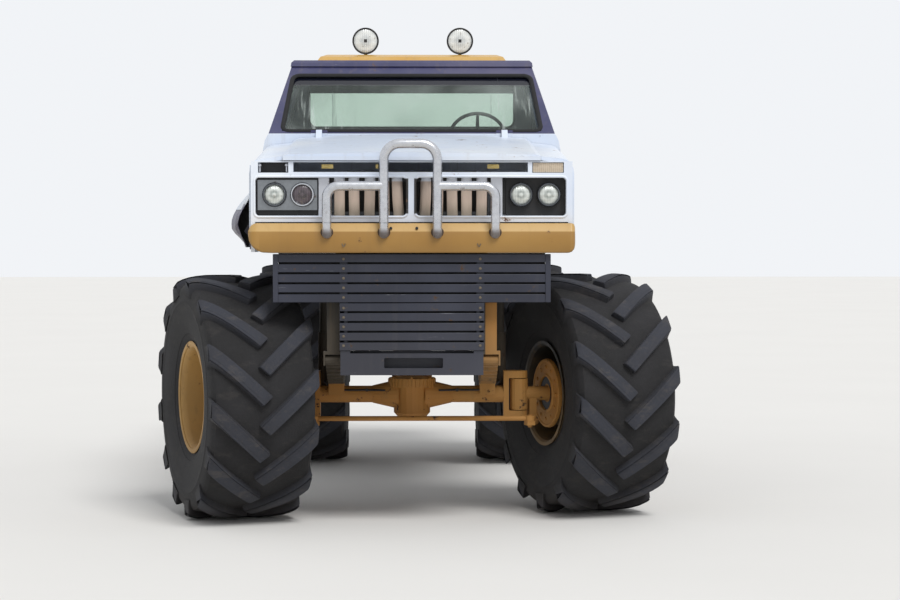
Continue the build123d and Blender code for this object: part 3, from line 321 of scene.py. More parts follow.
def rubberFinish(name, look):
    # tyre rubber: slate lug tops with pale scuffs, and nearly black voids that are partly the rubber's own
    # black and partly painted shade; the point share read here is 0 in the voids and 1 on the lug tops
    f = Finish(name)
    wear = f.attribute("wear")
    broad = f.noise(2.6, 4, 0.6)
    fine = f.noise(46, 4, 0.6)
    scuff = f.noise(7, 5, 0.7, stretch=(1.0, 1.0, 2.0)).ramp(0.5, 0.74)
    cracks = f.cells(58, "DISTANCE_TO_EDGE", stretch=(1.0, 1.0, 1.4)).ramp(0.0, 0.09)
    # painted shade in part: the voids and the feet of the lug flanks take the near-black tone
    colour = f.mix(wear, look["voids"], look["tops"])
    colour = f.mix(broad.ramp(0.4, 0.7) * 0.5, colour, look["worn"])
    low = 1 - f.z.ramp(0.0, 0.2)
    # dust and scuffs keep mostly to the lug tops, which leaves the voids dark as painted shade
    dust = (scuff * (0.3 + wear * 0.55) + fine.ramp(0.5, 0.72) * wear * 0.35 + low * 0.6) * look["dust"]
    colour = f.mix(dust.least(0.8), colour, look["dustColour"])
    height = fine * 0.5 + cracks * 0.5 + f.noise(210, 2) * 0.25
    return f.surface(colour, 0.8 + fine * 0.12, 0.0, height, 0.003, 0.5)


treadLook = {"tops": tone(48, 50, 58), "voids": tone(25, 24, 25), "worn": tone(40, 39, 42), "dust": 0.5,
             "dustColour": tone(88, 82, 76)}
sealLook = {"tops": tone(34, 34, 35), "voids": tone(24, 24, 25), "worn": tone(30, 30, 31), "dust": 0.3,
            "dustColour": tone(70, 68, 66)}
treadRubber = rubberFinish("treadRubber", treadLook)
sealRubber = rubberFinish("sealRubber", sealLook)


def bareMetal(name, colour, dull, rough, metallic, rustFrom=None, spangle=0.3, shadeFrom=None):
    # bright or dull metal with a spangle and smears, and with rust below a height and with painted shade,
    # near black, behind a plane where these are given
    f = Finish(name)
    flakes = f.cells(46)
    smear = f.noise(5.5, 5, 0.65)
    fine = f.noise(90, 3)
    base = f.mix((flakes * spangle + smear * 0.6).least(1.0), colour, dull)
    dirt = f.noise(16, 6, 0.7).ramp(0.60, 0.70)
    if rustFrom:
        low = 1 - f.z.ramp(*rustFrom)
        dirt = (dirt * 0.5 + low * (0.55 + smear * 0.6)).least(1.0)
    base = f.mix(dirt * 0.85, base, f.mix(fine, tone(96, 70, 50), tone(52, 42, 36)))
    shine = 1 - dirt * 0.8
    # painted shade: behind the plane the metal turns near black and loses its shine
    if shadeFrom:
        behind = f.y.ramp(shadeFrom - 0.001, shadeFrom + 0.001)
        base = f.mix(behind, base, tone(16, 16, 18))
        shine = shine * (1 - behind)
    return f.surface(base, (rough + smear * 0.18 + dirt * 0.4).least(0.95), shine * metallic,
                     fine * 0.3 + smear * 0.4, 0.0016, 0.4)


galvanised = bareMetal("galvanised", tone(224, 225, 228), tone(158, 160, 166), rough=0.16, metallic=0.95,
                       rustFrom=(1.812, 1.852), spangle=0.22)
chromeTrim = bareMetal("chromeTrim", tone(222, 224, 228), tone(176, 178, 182), rough=0.12, metallic=1.0,
                       spangle=0.1)
paleMetal = bareMetal("paleMetal", tone(212, 214, 220), tone(178, 182, 190), rough=0.3, metallic=0.55,
                      spangle=0.1)
# the right headlamps' bezel, with painted shade in the lamp pocket behind its face
bezelMetal = bareMetal("bezelMetal", tone(150, 154, 158), tone(92, 96, 100), rough=0.28, metallic=0.75,
                       spangle=0.2, shadeFrom=-2.487)
weldGrime = bareMetal("weldGrime", tone(96, 76, 58), tone(50, 38, 34), rough=0.7, metallic=0.1, spangle=0.5)
darkChrome = bareMetal("darkChrome", tone(120, 123, 128), tone(52, 54, 58), rough=0.18, metallic=0.95,
                       spangle=0.15)
boltSteel = bareMetal("boltSteel", tone(128, 118, 102), tone(92, 82, 70), rough=0.5, metallic=0.5,
                      rustFrom=(0.4, 1.0), spangle=0.4)
engineIron = bareMetal("engineIron", tone(92, 88, 82), tone(60, 55, 50), rough=0.62, metallic=0.25,
                       rustFrom=(1.4, 1.9), spangle=0.5)


satinLook = {"pale": tone(206, 186, 170), "shaded": tone(166, 150, 138), "foot": tone(128, 120, 100),
             "turned": tone(222, 226, 234), "footTo": (1.93, 2.02), "turnedHighlightFrom": (2.128, 2.140)}


def slatMetal(name, look):
    # thin satin blades: near white as painted highlight where they turn under the panel, darker and browner
    # towards the foot
    f = Finish(name)
    smear = f.noise(6, 5, 0.65, stretch=(3.0, 1.0, 0.8))
    fine = f.noise(80, 3)
    low = 1 - f.z.ramp(*look["footTo"])
    colour = f.mix(smear, look["pale"], look["shaded"])
    colour = f.mix(low * (0.35 + smear * 0.5), colour, look["foot"])
    # painted highlight near the top, where the blades turn
    colour = f.mix(f.z.ramp(*look["turnedHighlightFrom"]), colour, look["turned"])
    return f.surface(colour, 0.36 + smear * 0.2, 0.25, fine * 0.3 + smear * 0.5, 0.0016, 0.4)


satinMetal = slatMetal("satinMetal", satinLook)


def lampFace(name, colour, dark, ribs, rough, glow):
    # a moulded lens in front of a reflector: upright flutes, cross bars and a hazy bloom over painted
    # reflections, bright in the middle and in a ring further out; the point share read here is the distance
    # from the lens's middle, 1 at its rim
    f = Finish(name)
    flute = ((f.x * ribs).wave() + 1) * 0.5
    bars = ((f.z * (ribs * 0.35)).wave() + 1) * 0.5
    haze = f.noise(26, 4, 0.6)
    out = f.attribute("wear")
    # painted reflection of the reflector: bright in the middle and in a ring further out, darker between
    bowl = (1 - out.ramp(0.1, 0.26)) * 0.8 + out.ramp(0.3, 0.62) * (1 - out.ramp(0.74, 0.98)) * 0.75
    flutesAndGlints = flute * 0.25 + bars * 0.15 + bowl * 0.6
    colour = f.mix((flutesAndGlints + haze * 0.35).least(1.0), dark, colour)
    dirt = f.noise(60, 4).ramp(0.6, 0.72)
    colour = f.mix(dirt * 0.5, colour, tone(120, 108, 92))
    return f.surface(colour, rough + haze * 0.15, glow, flute * 0.6 + bars * 0.4, 0.003, 0.6,
                     Coat_Weight=0.8, Coat_Roughness=0.06)


clearLens = lampFace("clearLens", tone(226, 230, 224), tone(112, 120, 116), ribs=640.0, rough=0.12, glow=0.2)
deadLens = lampFace("deadLens", tone(84, 72, 78), tone(26, 20, 22), ribs=420.0, rough=0.1, glow=0.1)
roofLens = lampFace("roofLens", tone(238, 238, 232), tone(176, 180, 180), ribs=420.0, rough=0.14, glow=0.2)
parkLens = lampFace("parkLens", tone(196, 180, 158), tone(150, 128, 100), ribs=520.0, rough=0.25, glow=0.0)
redLens = lampFace("redLens", tone(170, 24, 18), tone(96, 10, 8), ribs=380.0, rough=0.18, glow=0.0)


def darkPlastic(name, colour, pale, rough):
    # moulded grain with rubbed and dusty places
    f = Finish(name)
    grain = f.cells(320)
    broad = f.noise(7, 4, 0.6)
    colour = f.mix(broad.ramp(0.45, 0.75) * 0.6, colour, pale)
    return f.surface(colour, rough + broad * 0.2, 0.0, grain * 0.6 + broad * 0.3, 0.0012, 0.5)


cabinPlastic = darkPlastic("cabinPlastic", tone(44, 44, 48), tone(84, 80, 76), rough=0.55)
blackPlastic = darkPlastic("blackPlastic", tone(22, 22, 24), tone(52, 48, 44), rough=0.5)
creamPlastic = darkPlastic("creamPlastic", tone(206, 182, 112), tone(176, 156, 104), rough=0.45)
gaugeFace = darkPlastic("gaugeFace", tone(188, 186, 176), tone(150, 148, 140), rough=0.4)


def seatCloth(name, threads):
    # plain weave over a worn, sun faded cloth
    f = Finish(name)
    warp = ((f.x * threads).wave() + 1) * 0.5
    weft = (((f.y + f.z) * threads).wave() + 1) * 0.5
    worn = f.noise(4.5, 5, 0.65)
    colour = f.mix(worn.ramp(0.4, 0.68), tone(52, 52, 62), tone(86, 82, 82))
    colour = f.mix((warp * weft) * 0.4, colour, tone(112, 108, 104))
    return f.surface(colour, 0.88, 0.0, warp * 0.5 + weft * 0.5 + worn * 0.6, 0.0015, 0.5, Sheen_Weight=0.25)


benchCloth = seatCloth("benchCloth", 2400.0)


def windowGlass(name, look):
    # nearly clear glass: a smooth film of dust and pale upright streaks near its sides;
    # above bandFrom it has a dark sun strip
    f = Finish(name)
    film = f.noise(1.5, 3, 0.5).ramp(0.42, 0.75) * look["film"]
    streak = f.noise(2.4, 4, 0.6, stretch=(8.0, 1.0, 0.3)).ramp(0.55, 0.68)
    streak = streak * f.x.size().ramp(look["streakFrom"], look["streakFrom"] + 0.3)
    dirt = film + streak * 0.7
    band = f.z.ramp(look["bandFrom"], look["bandFrom"] + 0.004)
    colour = f.mix(band, tone(212, 218, 216), tone(20, 22, 34))
    clear = f.node("ShaderNodeBsdfTransparent", {}, {"Color": tone(236, 243, 238)})
    gloss = f.node("ShaderNodeBsdfPrincipled", {}, {
        "Base Color": colour, "Roughness": 0.05 + dirt * 0.6, "IOR": 1.5, "Coat Weight": 0.4})
    share = (0.05 + dirt * 0.35 + band * 0.85).least(0.93)
    both = f.node("ShaderNodeMixShader", {}, [share, clear, gloss])
    f.node("ShaderNodeOutputMaterial", {}, {"Surface": both})
    return f.material


screenGlass = windowGlass("screenGlass", {"bandFrom": 2.822, "film": 0.5, "streakFrom": 0.35})
doorGlass = windowGlass("doorGlass", {"bandFrom": 9.0, "film": 0.8, "streakFrom": 0.2})
print("finishes made")


# the two directions that a disc or a bolt head on a front face is turned from: out of the face, and across it
ahead, aside = (0, -1, 0), (1, 0, 0)


def gridFaces(rows, columns, closeRows=False, closeColumns=True):
    # each cell of a grid of points is one four sided face
    i, j = np.meshgrid(np.arange(rows if closeRows else rows - 1),
                       np.arange(columns if closeColumns else columns - 1), indexing="ij")
    row, nextRow, nextColumn = i * columns, (i + 1) % rows * columns, (j + 1) % columns
    return np.stack([row + j, nextRow + j, nextRow + nextColumn, row + nextColumn], -1).reshape(-1, 4)


def ringFaces(rows, columns, loop=False):
    # rings of points in a row, joined end to end where loop is set and otherwise closed by a face at each end
    faces = gridFaces(rows, columns, loop).tolist()
    if not loop:
        faces += [list(range(columns)), list(range((rows - 1) * columns, rows * columns))]
    return faces


class Stack:
    # gathers the points and faces that make one mesh
    def __init__(self):
        self.points, self.faces, self.wear, self.count = [], [], [], 0

    def add(self, points, faces, wear=0.0):
        points = np.asarray(points, float).reshape(-1, 3)
        self.faces += [[int(v) + self.count for v in face] for face in faces]
        self.points.append(points)
        self.wear.append(np.broadcast_to(np.asarray(wear, float), (len(points),)))
        self.count += len(points)
        return self

    def piece(self, name, material, body, smooth=38, bevel=0.0, steps=2):
        mesh = bpy.data.meshes.new(name)
        mesh.from_pydata(np.concatenate(self.points).tolist(), [], self.faces)
        layer = mesh.attributes.new("wear", "FLOAT", "POINT")
        layer.data.foreach_set("value", np.concatenate(self.wear).astype(np.float32))
        work = bmesh.new()
        work.from_mesh(mesh)
        bmesh.ops.remove_doubles(work, verts=work.verts, dist=1e-6)
        bmesh.ops.recalc_face_normals(work, faces=work.faces)
        work.to_mesh(mesh)
        work.free()
        mesh.polygons.foreach_set("use_smooth", [smooth > 0] * len(mesh.polygons))
        if smooth:
            mesh.set_sharp_from_angle(angle=math.radians(smooth))
        mesh.materials.append(material)
        made = bpy.data.objects.new(name, mesh)
        bpy.context.scene.collection.objects.link(made)
        if bevel:
            round_ = made.modifiers.new("round", "BEVEL")
            round_.width = bevel
            round_.segments = steps
            round_.limit_method = "ANGLE"
        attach(made, body)
        return made


def turned(profile, centre, axis, across, segments=64, loop=False):
    # a point of the profile (along, radius) goes round the axis:
    # centre + along * axis + radius * (cos t across + sin t third)
    profile, axis, across = np.array(profile, float), np.array(axis, float), np.array(across, float)
    third = np.cross(axis, across)
    t = 2 * np.pi * np.arange(segments) / segments
    circle = np.cos(t)[:, None] * across + np.sin(t)[:, None] * third
    points = np.array(centre) + profile[:, 0, None, None] * axis + profile[:, 1, None, None] * circle[None]
    return points.reshape(-1, 3), ringFaces(len(profile), segments, loop)


def softPath(corners, radius, steps=8):
    # straight runs joined by bends: each corner becomes a rational quadratic curve, near to an arc, between
    # the points one radius away from it
    corners = np.array(corners, float)
    weight = 0.72
    t = np.linspace(0, 1, steps)[:, None]
    out = [corners[:1]]
    for before, corner, after in zip(corners[:-2], corners[1:-1], corners[2:]):
        a = corner + (before - corner) / np.linalg.norm(before - corner) * radius
        b = corner + (after - corner) / np.linalg.norm(after - corner) * radius
        blend = ((1 - t) ** 2 * a + 2 * t * (1 - t) * weight * corner + t ** 2 * b)
        out.append(blend / ((1 - t) ** 2 + 2 * t * (1 - t) * weight + t ** 2))
    out.append(corners[-1:])
    return np.concatenate(out)


def softLoop(corners, radius, steps=6):
    # the same for a closed outline
    corners = np.array(corners, float)
    wrapped = np.concatenate([corners[-1:], corners, corners[:1]])
    return softPath(wrapped, radius, steps)[1:-1]


def tube(path, radius, normal, sides=18, loop=False, flat=1.0):
    # a circle carried along a path that lies near one plane: path + radius * (cos t side + sin t normal)
    path, normal = np.array(path, float), np.array(normal, float)
    if loop:
        along = np.roll(path, -1, 0) - np.roll(path, 1, 0)
    else:
        along = np.gradient(path, axis=0)
    along /= np.linalg.norm(along, axis=1)[:, None]
    side = np.cross(along, normal)
    side /= np.linalg.norm(side, axis=1)[:, None]
    up = np.cross(side, along)
    t = 2 * np.pi * np.arange(sides) / sides
    radius = np.broadcast_to(np.asarray(radius, float), (len(path),))[:, None, None]
    ring = np.cos(t)[None, :, None] * side[:, None] + flat * np.sin(t)[None, :, None] * up[:, None]
    points = path[:, None] + radius * ring
    return points.reshape(-1, 3), ringFaces(len(path), sides, loop)


def slab(low, high):
    # the eight corners of a box between two opposite ones
    low, high = np.array(low, float), np.array(high, float)
    pick = np.array([[0, 0, 0], [1, 0, 0], [1, 1, 0], [0, 1, 0], [0, 0, 1], [1, 0, 1], [1, 1, 1], [0, 1, 1]])
    faces = [[0, 3, 2, 1], [4, 5, 6, 7], [0, 1, 5, 4], [1, 2, 6, 5], [2, 3, 7, 6], [3, 0, 4, 7]]
    return low + pick * (high - low), faces


def boxOf(x, y, z):
    # the same box from its two limits along each axis
    return slab(*zip(x, y, z))


def cornersOf(x, y, z):
    # the corners of an upright rectangle that faces along y
    return [(x[0], y, z[0]), (x[1], y, z[0]), (x[1], y, z[1]), (x[0], y, z[1])]


def plate(outline, axis, low, high):
    # a flat outline of two coordinates carried from low to high along axis 0, 1 or 2
    outline = np.array(outline, float)
    count = len(outline)
    rows = [np.insert(outline, axis, level, axis=1) for level in (low, high)]
    sides = [[k, (k + 1) % count, count + (k + 1) % count, count + k] for k in range(count)]
    return np.concatenate(rows), sides + [list(range(count)), list(range(count, 2 * count))]


def nut(centre, axis, across, radius, height):
    # a six sided head on a washer
    step = np.array([(-0.001, radius * 1.35), (height * 0.22, radius * 1.35), (height * 0.22, radius * 1.02),
                     (height * 0.85, radius), (height, radius * 0.8)])
    return turned(step, centre, axis, across, 6)


tyreLook = {"lugs": 13, "topHalf": 0.056, "baseHalf": 0.088, "radius": 0.7745, "root": 0.700, "half": 0.3395,
            "overlap": 0.006, "sweep": 0.88, "shoulder": 0.752, "segments": 104,
            "rolled": {"front_right_wheel": math.radians(180 / 13)}}
wheelLook = {"studs": {"count": 10, "circle": 0.158, "at": -0.001, "radius": 0.017, "height": 0.026},
             "capBolts": {"count": 8, "circle": 0.052, "at": 0.150, "radius": 0.008, "height": 0.008}}


def wheelFrame(jointName, side):
    # centre, outward axis, rearward and upward directions of one wheel
    joint = joints[jointName]
    axis = np.array(joint["axis"], float)
    return np.array(joint["pos_m"], float), axis * side, np.cross([0, 0, 1.0], axis), np.array([0, 0, 1.0])


def wheelPoints(local, place):
    centre, out, back, up = place
    return centre + local[..., 0:1] * out + local[..., 1:2] * back + local[..., 2:3] * up


def carcass(look, place):
    # the turned body of the tyre: bead, bulging sidewall with two mould rings, shoulder and a crowned tread
    outer = [(0.262, 0.3305), (0.274, 0.338), (0.276, 0.352), (0.284, 0.368), (0.297, 0.392), (0.299, 0.400),
             (0.304, 0.404), (0.314, 0.44), (0.326, 0.50), (0.3325, 0.56), (0.3345, 0.60), (0.3365, 0.606),
             (0.3345, 0.612), (0.333, 0.64), (0.329, 0.67), (0.322, 0.695), (0.305, 0.714), (0.27, 0.722),
             (0.2, 0.727), (0.1, 0.729), (0.0, 0.7295)]
    profile = np.array(outer + [(-x, r) for x, r in reversed(outer[:-1])])
    turn = 2 * np.pi * np.arange(look["segments"]) / look["segments"]
    x = np.broadcast_to(profile[:, 0, None], (len(profile), len(turn)))
    local = np.stack([x, -profile[:, 1, None] * np.cos(turn), -profile[:, 1, None] * np.sin(turn)], -1)
    return wheelPoints(local, place).reshape(-1, 3), gridFaces(len(profile), len(turn), True).tolist()


def lugBars(look, place, stack, phase):
    # every bar lug is a row of stations along x, and at each a trapezium with hollow flanks stands on the
    # carcass; phase rolls the whole set
    step = math.radians(360 / look["lugs"]) / 2
    half, top, root, inner = look["half"], look["radius"], look["root"], -look["overlap"]
    # columns: x, radius of the top, radius of the foot, share of the full width
    stations = np.array([
        (inner, top - 0.006, root, 0.95), (inner + 0.006, top - 0.001, root, 1.0), (0.04, top, root, 1.0),
        (0.08, top, root, 1.0), (0.13, top, root, 1.0), (0.18, top, root, 1.0),
        (0.23, top - 0.002, root, 1.02), (0.27, top - 0.006, root - 0.005, 1.04),
        (0.305, top - 0.013, root - 0.020, 1.06), (half - 0.008, look["shoulder"], root - 0.045, 1.06),
        (half, look["shoulder"] - 0.010, root - 0.050, 0.98)])
    x, high, foot, wide = [stations[:, k, None] for k in range(4)]
    square = np.array([1.0, 1.0, 0.45] + [0.0] * (len(stations) - 3))[:, None]
    gap = look["baseHalf"] - look["topHalf"]
    # columns: side offset beyond the top's half width, as a share of the gap, and height as a share
    shape = np.array([(-1, 0), (-0.52, 0.22), (-0.2, 0.6), (-0.05, 0.9), (0.07, 1), (0.5, 1.0)])
    lay = np.concatenate([shape, shape[::-1] * (-1, 1)])
    corner = np.arange(len(lay))
    left, right = len(shape) - 1, len(shape)    # the two corners either side of the lug's middle
    sign = np.sign(lay[:, 0])
    sign[left], sign[right] = -1, 1
    share = np.abs(lay[:, 0])
    onTop = (corner >= left - 1) & (corner <= right + 1)
    offset = sign * np.where(onTop, look["topHalf"] * (1 - share), look["topHalf"] + gap * share)
    offset[left], offset[right] = -look["topHalf"] * 0.5, look["topHalf"] * 0.5
    height = lay[:, 1]
    # 0 at the foot of a flank, rising to 1 on the top; the tread's paint darkens the lower flank as painted
    # shade
    wear = np.clip(height * 1.2 - 0.2, 0, 1)
    faces = ringFaces(len(stations), len(lay))
    # the inner end is cut square to the bar: x moves with the offset by slope / (slope^2 + 1)
    slope = 2 * step * look["sweep"] * top / (half + look["overlap"])
    along = x + square * offset[None] * slope / (slope ** 2 + 1)
    bend = (1 - 2 * (along + look["overlap"]) / (half + look["overlap"])) * look["sweep"]
    for hand in (1, -1):
        for k in range(look["lugs"]):
            middle = (k if hand > 0 else k + 0.5) * 2 * step + phase
            angle = middle + step * bend + offset[None] * wide / top
            radius = foot + (high - foot) * height[None]
            local = np.stack([hand * along, -radius * np.cos(angle), -radius * np.sin(angle)], -1)
            stack.add(wheelPoints(local, place), faces, np.broadcast_to(wear, angle.shape).reshape(-1))


def rimShape(place):
    # the turned wheel: rolled lip, barrel, dished disc, hub barrel and the brake drum behind;
    # its point share is 1 on its inner side, where the rim's paint turns dark
    profile = [(0.150, 0.0), (0.150, 0.066), (0.146, 0.072), (0.118, 0.074), (0.114, 0.086), (0.108, 0.092),
               (0.012, 0.092), (0.004, 0.104), (-0.001, 0.132), (0.0, 0.19), (0.008, 0.205), (0.016, 0.24),
               (0.012, 0.268), (0.03, 0.288), (0.12, 0.299), (0.24, 0.3035), (0.268, 0.312), (0.279, 0.322),
               (0.284, 0.340), (0.2845, 0.352), (0.2875, 0.3562), (0.2905, 0.352), (0.2905, 0.336),
               (0.286, 0.3285), (0.277, 0.3285), (-0.277, 0.3285), (-0.2895, 0.34), (-0.2905, 0.318),
               (-0.275, 0.306), (-0.02, 0.302), (-0.018, 0.212), (-0.03, 0.210), (-0.235, 0.210),
               (-0.242, 0.203), (-0.242, 0.046), (0.09, 0.046), (0.09, 0.0)]
    segments, leastRadius, innerFrom = 96, 0.0002, -0.015
    centre, out, back, up = place
    points, faces = turned([(x, max(r, leastRadius)) for x, r in profile], centre, out, back, segments)
    inner = np.repeat([1.0 if x < innerFrom else 0.0 for x, r in profile], segments)
    return points, faces, inner


def studRing(stack, place, row):
    # heads spread evenly round a circle on the wheel's face
    centre, out, back, up = place
    for k in range(row["count"]):
        turn = 2 * math.pi * (k + 0.5) / row["count"]
        spot = centre + row["at"] * out + row["circle"] * (math.cos(turn) * back + math.sin(turn) * up)
        stack.add(*nut(spot, out, back, row["radius"], row["height"]))


for end in ("front", "rear"):
    for name, side in (("left", 1), ("right", -1)):
        place = wheelFrame(f"{end}_{name}_roll", side)
        body = f"{end}_{name}_wheel"
        rubber = Stack().add(*carcass(tyreLook, place))
        lugBars(tyreLook, place, rubber, tyreLook["rolled"].get(body, 0.0))
        made = rubber.piece(f"{end}{name.title()}Tread", treadRubber, body, 32)
        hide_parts(f"{end}_{name}_tyre")
        made = Stack().add(*rimShape(place)).piece(f"{end}{name.title()}Wheel", rimPaint, body, 30)
        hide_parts(f"{end}_{name}_rim")
        studs = Stack()
        for row in wheelLook.values():
            studRing(studs, place, row)
        studs.piece(f"{end}{name.title()}Studs", boltSteel, body, 0)
print("wheels made")


bumperShape = {"half": 0.998, "plain": 0.86, "ends": 0.09, "back": -2.531, "front": -2.6195, "low": 1.6955,
               "high": 1.8775, "bevel": 0.054, "topRound": 0.056, "lowRound": 0.115, "lowRise": 0.105,
               "snug": 0.45, "wall": 0.010, "holes": (-0.128, 0.030), "holeAt": 1.846, "hole": 0.009,
               "hooks": (-0.415, 0.409), "hookTop": 1.752, "hookHalf": 0.009, "wire": 0.0028}


def bumperBar(b):
    # the pressed section is carried along x; near the ends its top falls by r * (1 - sqrt(1 - u^2)) and its
    # foot rises by rise * (1 - sqrt(1 - u^2)), where u runs from 0 to 1 over each round; the driver's end is
    # rounded less
    x = np.concatenate([np.linspace(-b["half"], -b["half"] + b["ends"], 16),
                        np.linspace(-b["plain"], b["plain"], 25),
                        np.linspace(b["half"] - b["ends"], b["half"], 16)])
    left = b["half"] - np.abs(x)
    snug = np.where(x > 0, b["snug"], 1.0)
    top = np.clip(1 - left / (b["topRound"] * snug), 0, 1)
    foot = np.clip(1 - left / (b["lowRound"] * snug), 0, 1)
    high = b["high"] - b["topRound"] * snug * (1 - np.sqrt(1 - top ** 2))
    low = b["low"] + b["lowRise"] * (1 - np.sqrt(1 - foot ** 2)) * snug
    front = b["front"] + 0.6 * b["topRound"] * (1 - np.sqrt(1 - top ** 2))
    fold = b["wall"]
    shoulder = np.maximum(high - b["bevel"], low + 0.02)
    section = [(b["back"], low + 0.01), (front + 0.022, low), (front + 0.006, low + 0.003),
               (front, low + 0.014), (front, shoulder), (front + 0.004, shoulder + 0.008),
               (front + 0.020, high - 0.004), (front + 0.032, high), (b["back"], high),
               (b["back"], high - fold), (front + 0.034, high - fold), (front + fold, shoulder - 0.004),
               (front + fold, low + 0.020), (b["back"], low + 0.010 + fold)]
    ring = [np.stack([x, np.broadcast_to(y, x.shape), np.broadcast_to(z, x.shape)], -1) for y, z in section]
    return np.stack(ring, 1).reshape(-1, 3), ringFaces(len(x), len(section))


def bumperHook(b, x):
    # a bent wire that leaves the face, drops to a point and goes back in
    y, top, half = b["front"], b["hookTop"], b["hookHalf"]
    corners = [(x - half, y + 0.002, top), (x - half, y - 0.007, top - 0.004), (x, y - 0.007, top - 0.020),
               (x + half, y - 0.007, top - 0.004), (x + half, y + 0.002, top)]
    return tube(softPath(corners, 0.005, 4), b["wire"], (0, 1, 0), 8)


bar = Stack().add(*bumperBar(bumperShape)).piece("bumperBar", bumperPaint, "chassis", 30)
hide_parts("bumper")
holes, hooks = Stack(), Stack()
# each hole is a black disc on the bumper's face, its dark inside painted shade
for x in bumperShape["holes"]:
    r = bumperShape["hole"]
    holes.add(*turned([(-0.012, r), (0.0004, r), (0.0004, 0.001)],
                      (x, bumperShape["front"], bumperShape["holeAt"]), ahead, aside, 20))
for x in bumperShape["hooks"]:
    hooks.add(*bumperHook(bumperShape, x))
holes.piece("bumperHoles", blackPlastic, "chassis", 30)
hooks.piece("bumperHooks", boltSteel, "chassis", 40)

guardShape = {"front": -2.5695, "thick": 0.014, "back": -2.5105, "gap": 0.012, "count": 5, "seam": 0.0002,
              "upper": (-0.849, 0.849, 1.393, 1.688), "lower": (-0.4425, 0.4425, 1.099, 1.387),
              "upright": 0.03, "post": (0.395, 0.443), "end": (0.817, 0.849), "endThick": 0.006,
              "boltsAt": 0.418, "bolt": (0.007, 0.006), "shadeTop": (0.83, 1.70, 1.74),
              "shadeFoot": (0.43, 1.0935, 1.0985), "shadeFootY": (-2.500, -2.496)}


def guardSet(g):
    # two sets of flat slats on uprights, with an upright in front of the upper ends
    slats = Stack()
    behind = g["front"] + g["thick"] + g["seam"]
    for left, right, low, high in (g["upper"], g["lower"]):
        height = (high - low - g["gap"] * (g["count"] - 1)) / g["count"]
        for k in range(g["count"]):
            z = low + k * (height + g["gap"])
            slats.add(*slab((left, g["front"], z), (right, g["front"] + g["thick"], z + height)))
        for x in (left, right - g["upright"]):
            slats.add(*slab((x, behind, low), (x + g["upright"], g["back"], high)))
    foot, low, high = g["lower"][2], g["upper"][2], g["upper"][3]
    for side in (-1, 1):
        left, right = sorted(side * v for v in g["post"])
        slats.add(*slab((left, behind, foot), (right, g["back"], high)))
        left, right = sorted(side * v for v in g["end"])
        slats.add(*slab((left, g["front"] - g["endThick"], low), (right, g["front"] - g["seam"], high)))
    return slats


def guardShade(g):
    # black sheets close behind the slats, above the upper guard and at the step's top: painted shade, so that
    # no daylight shows through the gaps
    shade = Stack()
    y = (g["back"] - 0.005, g["back"] - 0.001)
    for (half, low, high), (front, back) in ((g["shadeTop"], y), (g["shadeFoot"], g["shadeFootY"])):
        shade.add(*slab((-half, front, low), (half, back, high)))
    inset = g["upright"] + 0.001
    for left, right, low, high in (g["upper"], g["lower"]):
        shade.add(*slab((left + inset, y[0], low), (right - inset, y[1], high + 0.006)))
    return shade


def guardBolts(g):
    # a pair of bolts on every slat
    bolts = Stack()
    for left, right, low, high in (g["upper"], g["lower"]):
        for k in range(g["count"]):
            z = low + (k + 0.5) * (high - low) / g["count"]
            for x in (-g["boltsAt"], g["boltsAt"]):
                bolts.add(*nut((x, g["front"], z), ahead, aside, *g["bolt"]))
    return bolts


guardPiece = guardSet(guardShape).piece("guardSlats", guardPaint, "chassis", 30, 0.0022)
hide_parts("slatted_guards")
guardShade(guardShape).piece("guardShade", blackPlastic, "chassis", 0)
guardBolts(guardShape).piece("guardSlatBolts", boltSteel, "chassis", 0)
print("bumper and guards made")

guardLine = {"tube": 0.029, "y": -2.651, "hoop": (-0.170, 0.155), "top": 2.360, "bend": 0.1, "arm": 2.103,
             "armBend": 0.075, "legs": (-0.517, 0.508), "foot": 1.806, "footRise": 0.07}
weldLook = {"lift": 0.016, "wide": 0.034, "high": 0.030, "bead": 0.005, "flat": 0.6, "proud": 0.0015,
            "points": 24}


def brushTubes(g):
    # a hoop of tube, and an arm and a leg at each side of it
    stack = Stack()
    y, (left, right) = g["y"], g["hoop"]
    foot = g["foot"] + g["footRise"]
    corners = [(left, y, foot), (left, y, g["top"]), (right, y, g["top"]), (right, y, foot)]
    stack.add(*tube(softPath(corners, g["bend"], 12), g["tube"], (0, 1, 0), 24))
    for inner, outer in zip(g["hoop"], g["legs"]):
        path = softPath([(inner, y, g["arm"]), (outer, y, g["arm"]), (outer, y, foot)], g["armBend"], 12)
        stack.add(*tube(path, g["tube"], (0, 1, 0), 24))
    return stack


def guardFoot(g, x):
    # the tube's last bend, back into the bumper's face
    y, low = g["y"], g["foot"]
    path = softPath([(x, y, low + 0.075), (x, y, low + 0.020), (x, y + 0.030, low + 0.003)], 0.024, 6)
    return tube(path, g["tube"], (1, 0, 0), 24)


def weldRing(g, w, x, face):
    # an oval bead on the bumper's face round a foot: x + wide * cos t, middle + high * sin t
    t = np.linspace(0, 2 * np.pi, w["points"] + 1)[:-1]
    z = g["foot"] + w["lift"] + w["high"] * np.sin(t)
    ring = np.stack([x + w["wide"] * np.cos(t), np.full(len(t), face - w["proud"]), z], -1)
    return tube(ring, w["bead"], (0, 1, 0), 8, True, w["flat"])


tubes = brushTubes(guardLine).piece("brushTubes", galvanised, "chassis", 40)
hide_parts("brush_guard")
feet, grime = Stack(), Stack()
for x in (*guardLine["hoop"], *guardLine["legs"]):
    feet.add(*guardFoot(guardLine, x))
    grime.add(*weldRing(guardLine, weldLook, x, bumperShape["front"]))
feet.piece("guardFeet", galvanised, "chassis", 40)
grime.piece("guardWelds", weldGrime, "chassis", 40)
print("brush guard made")


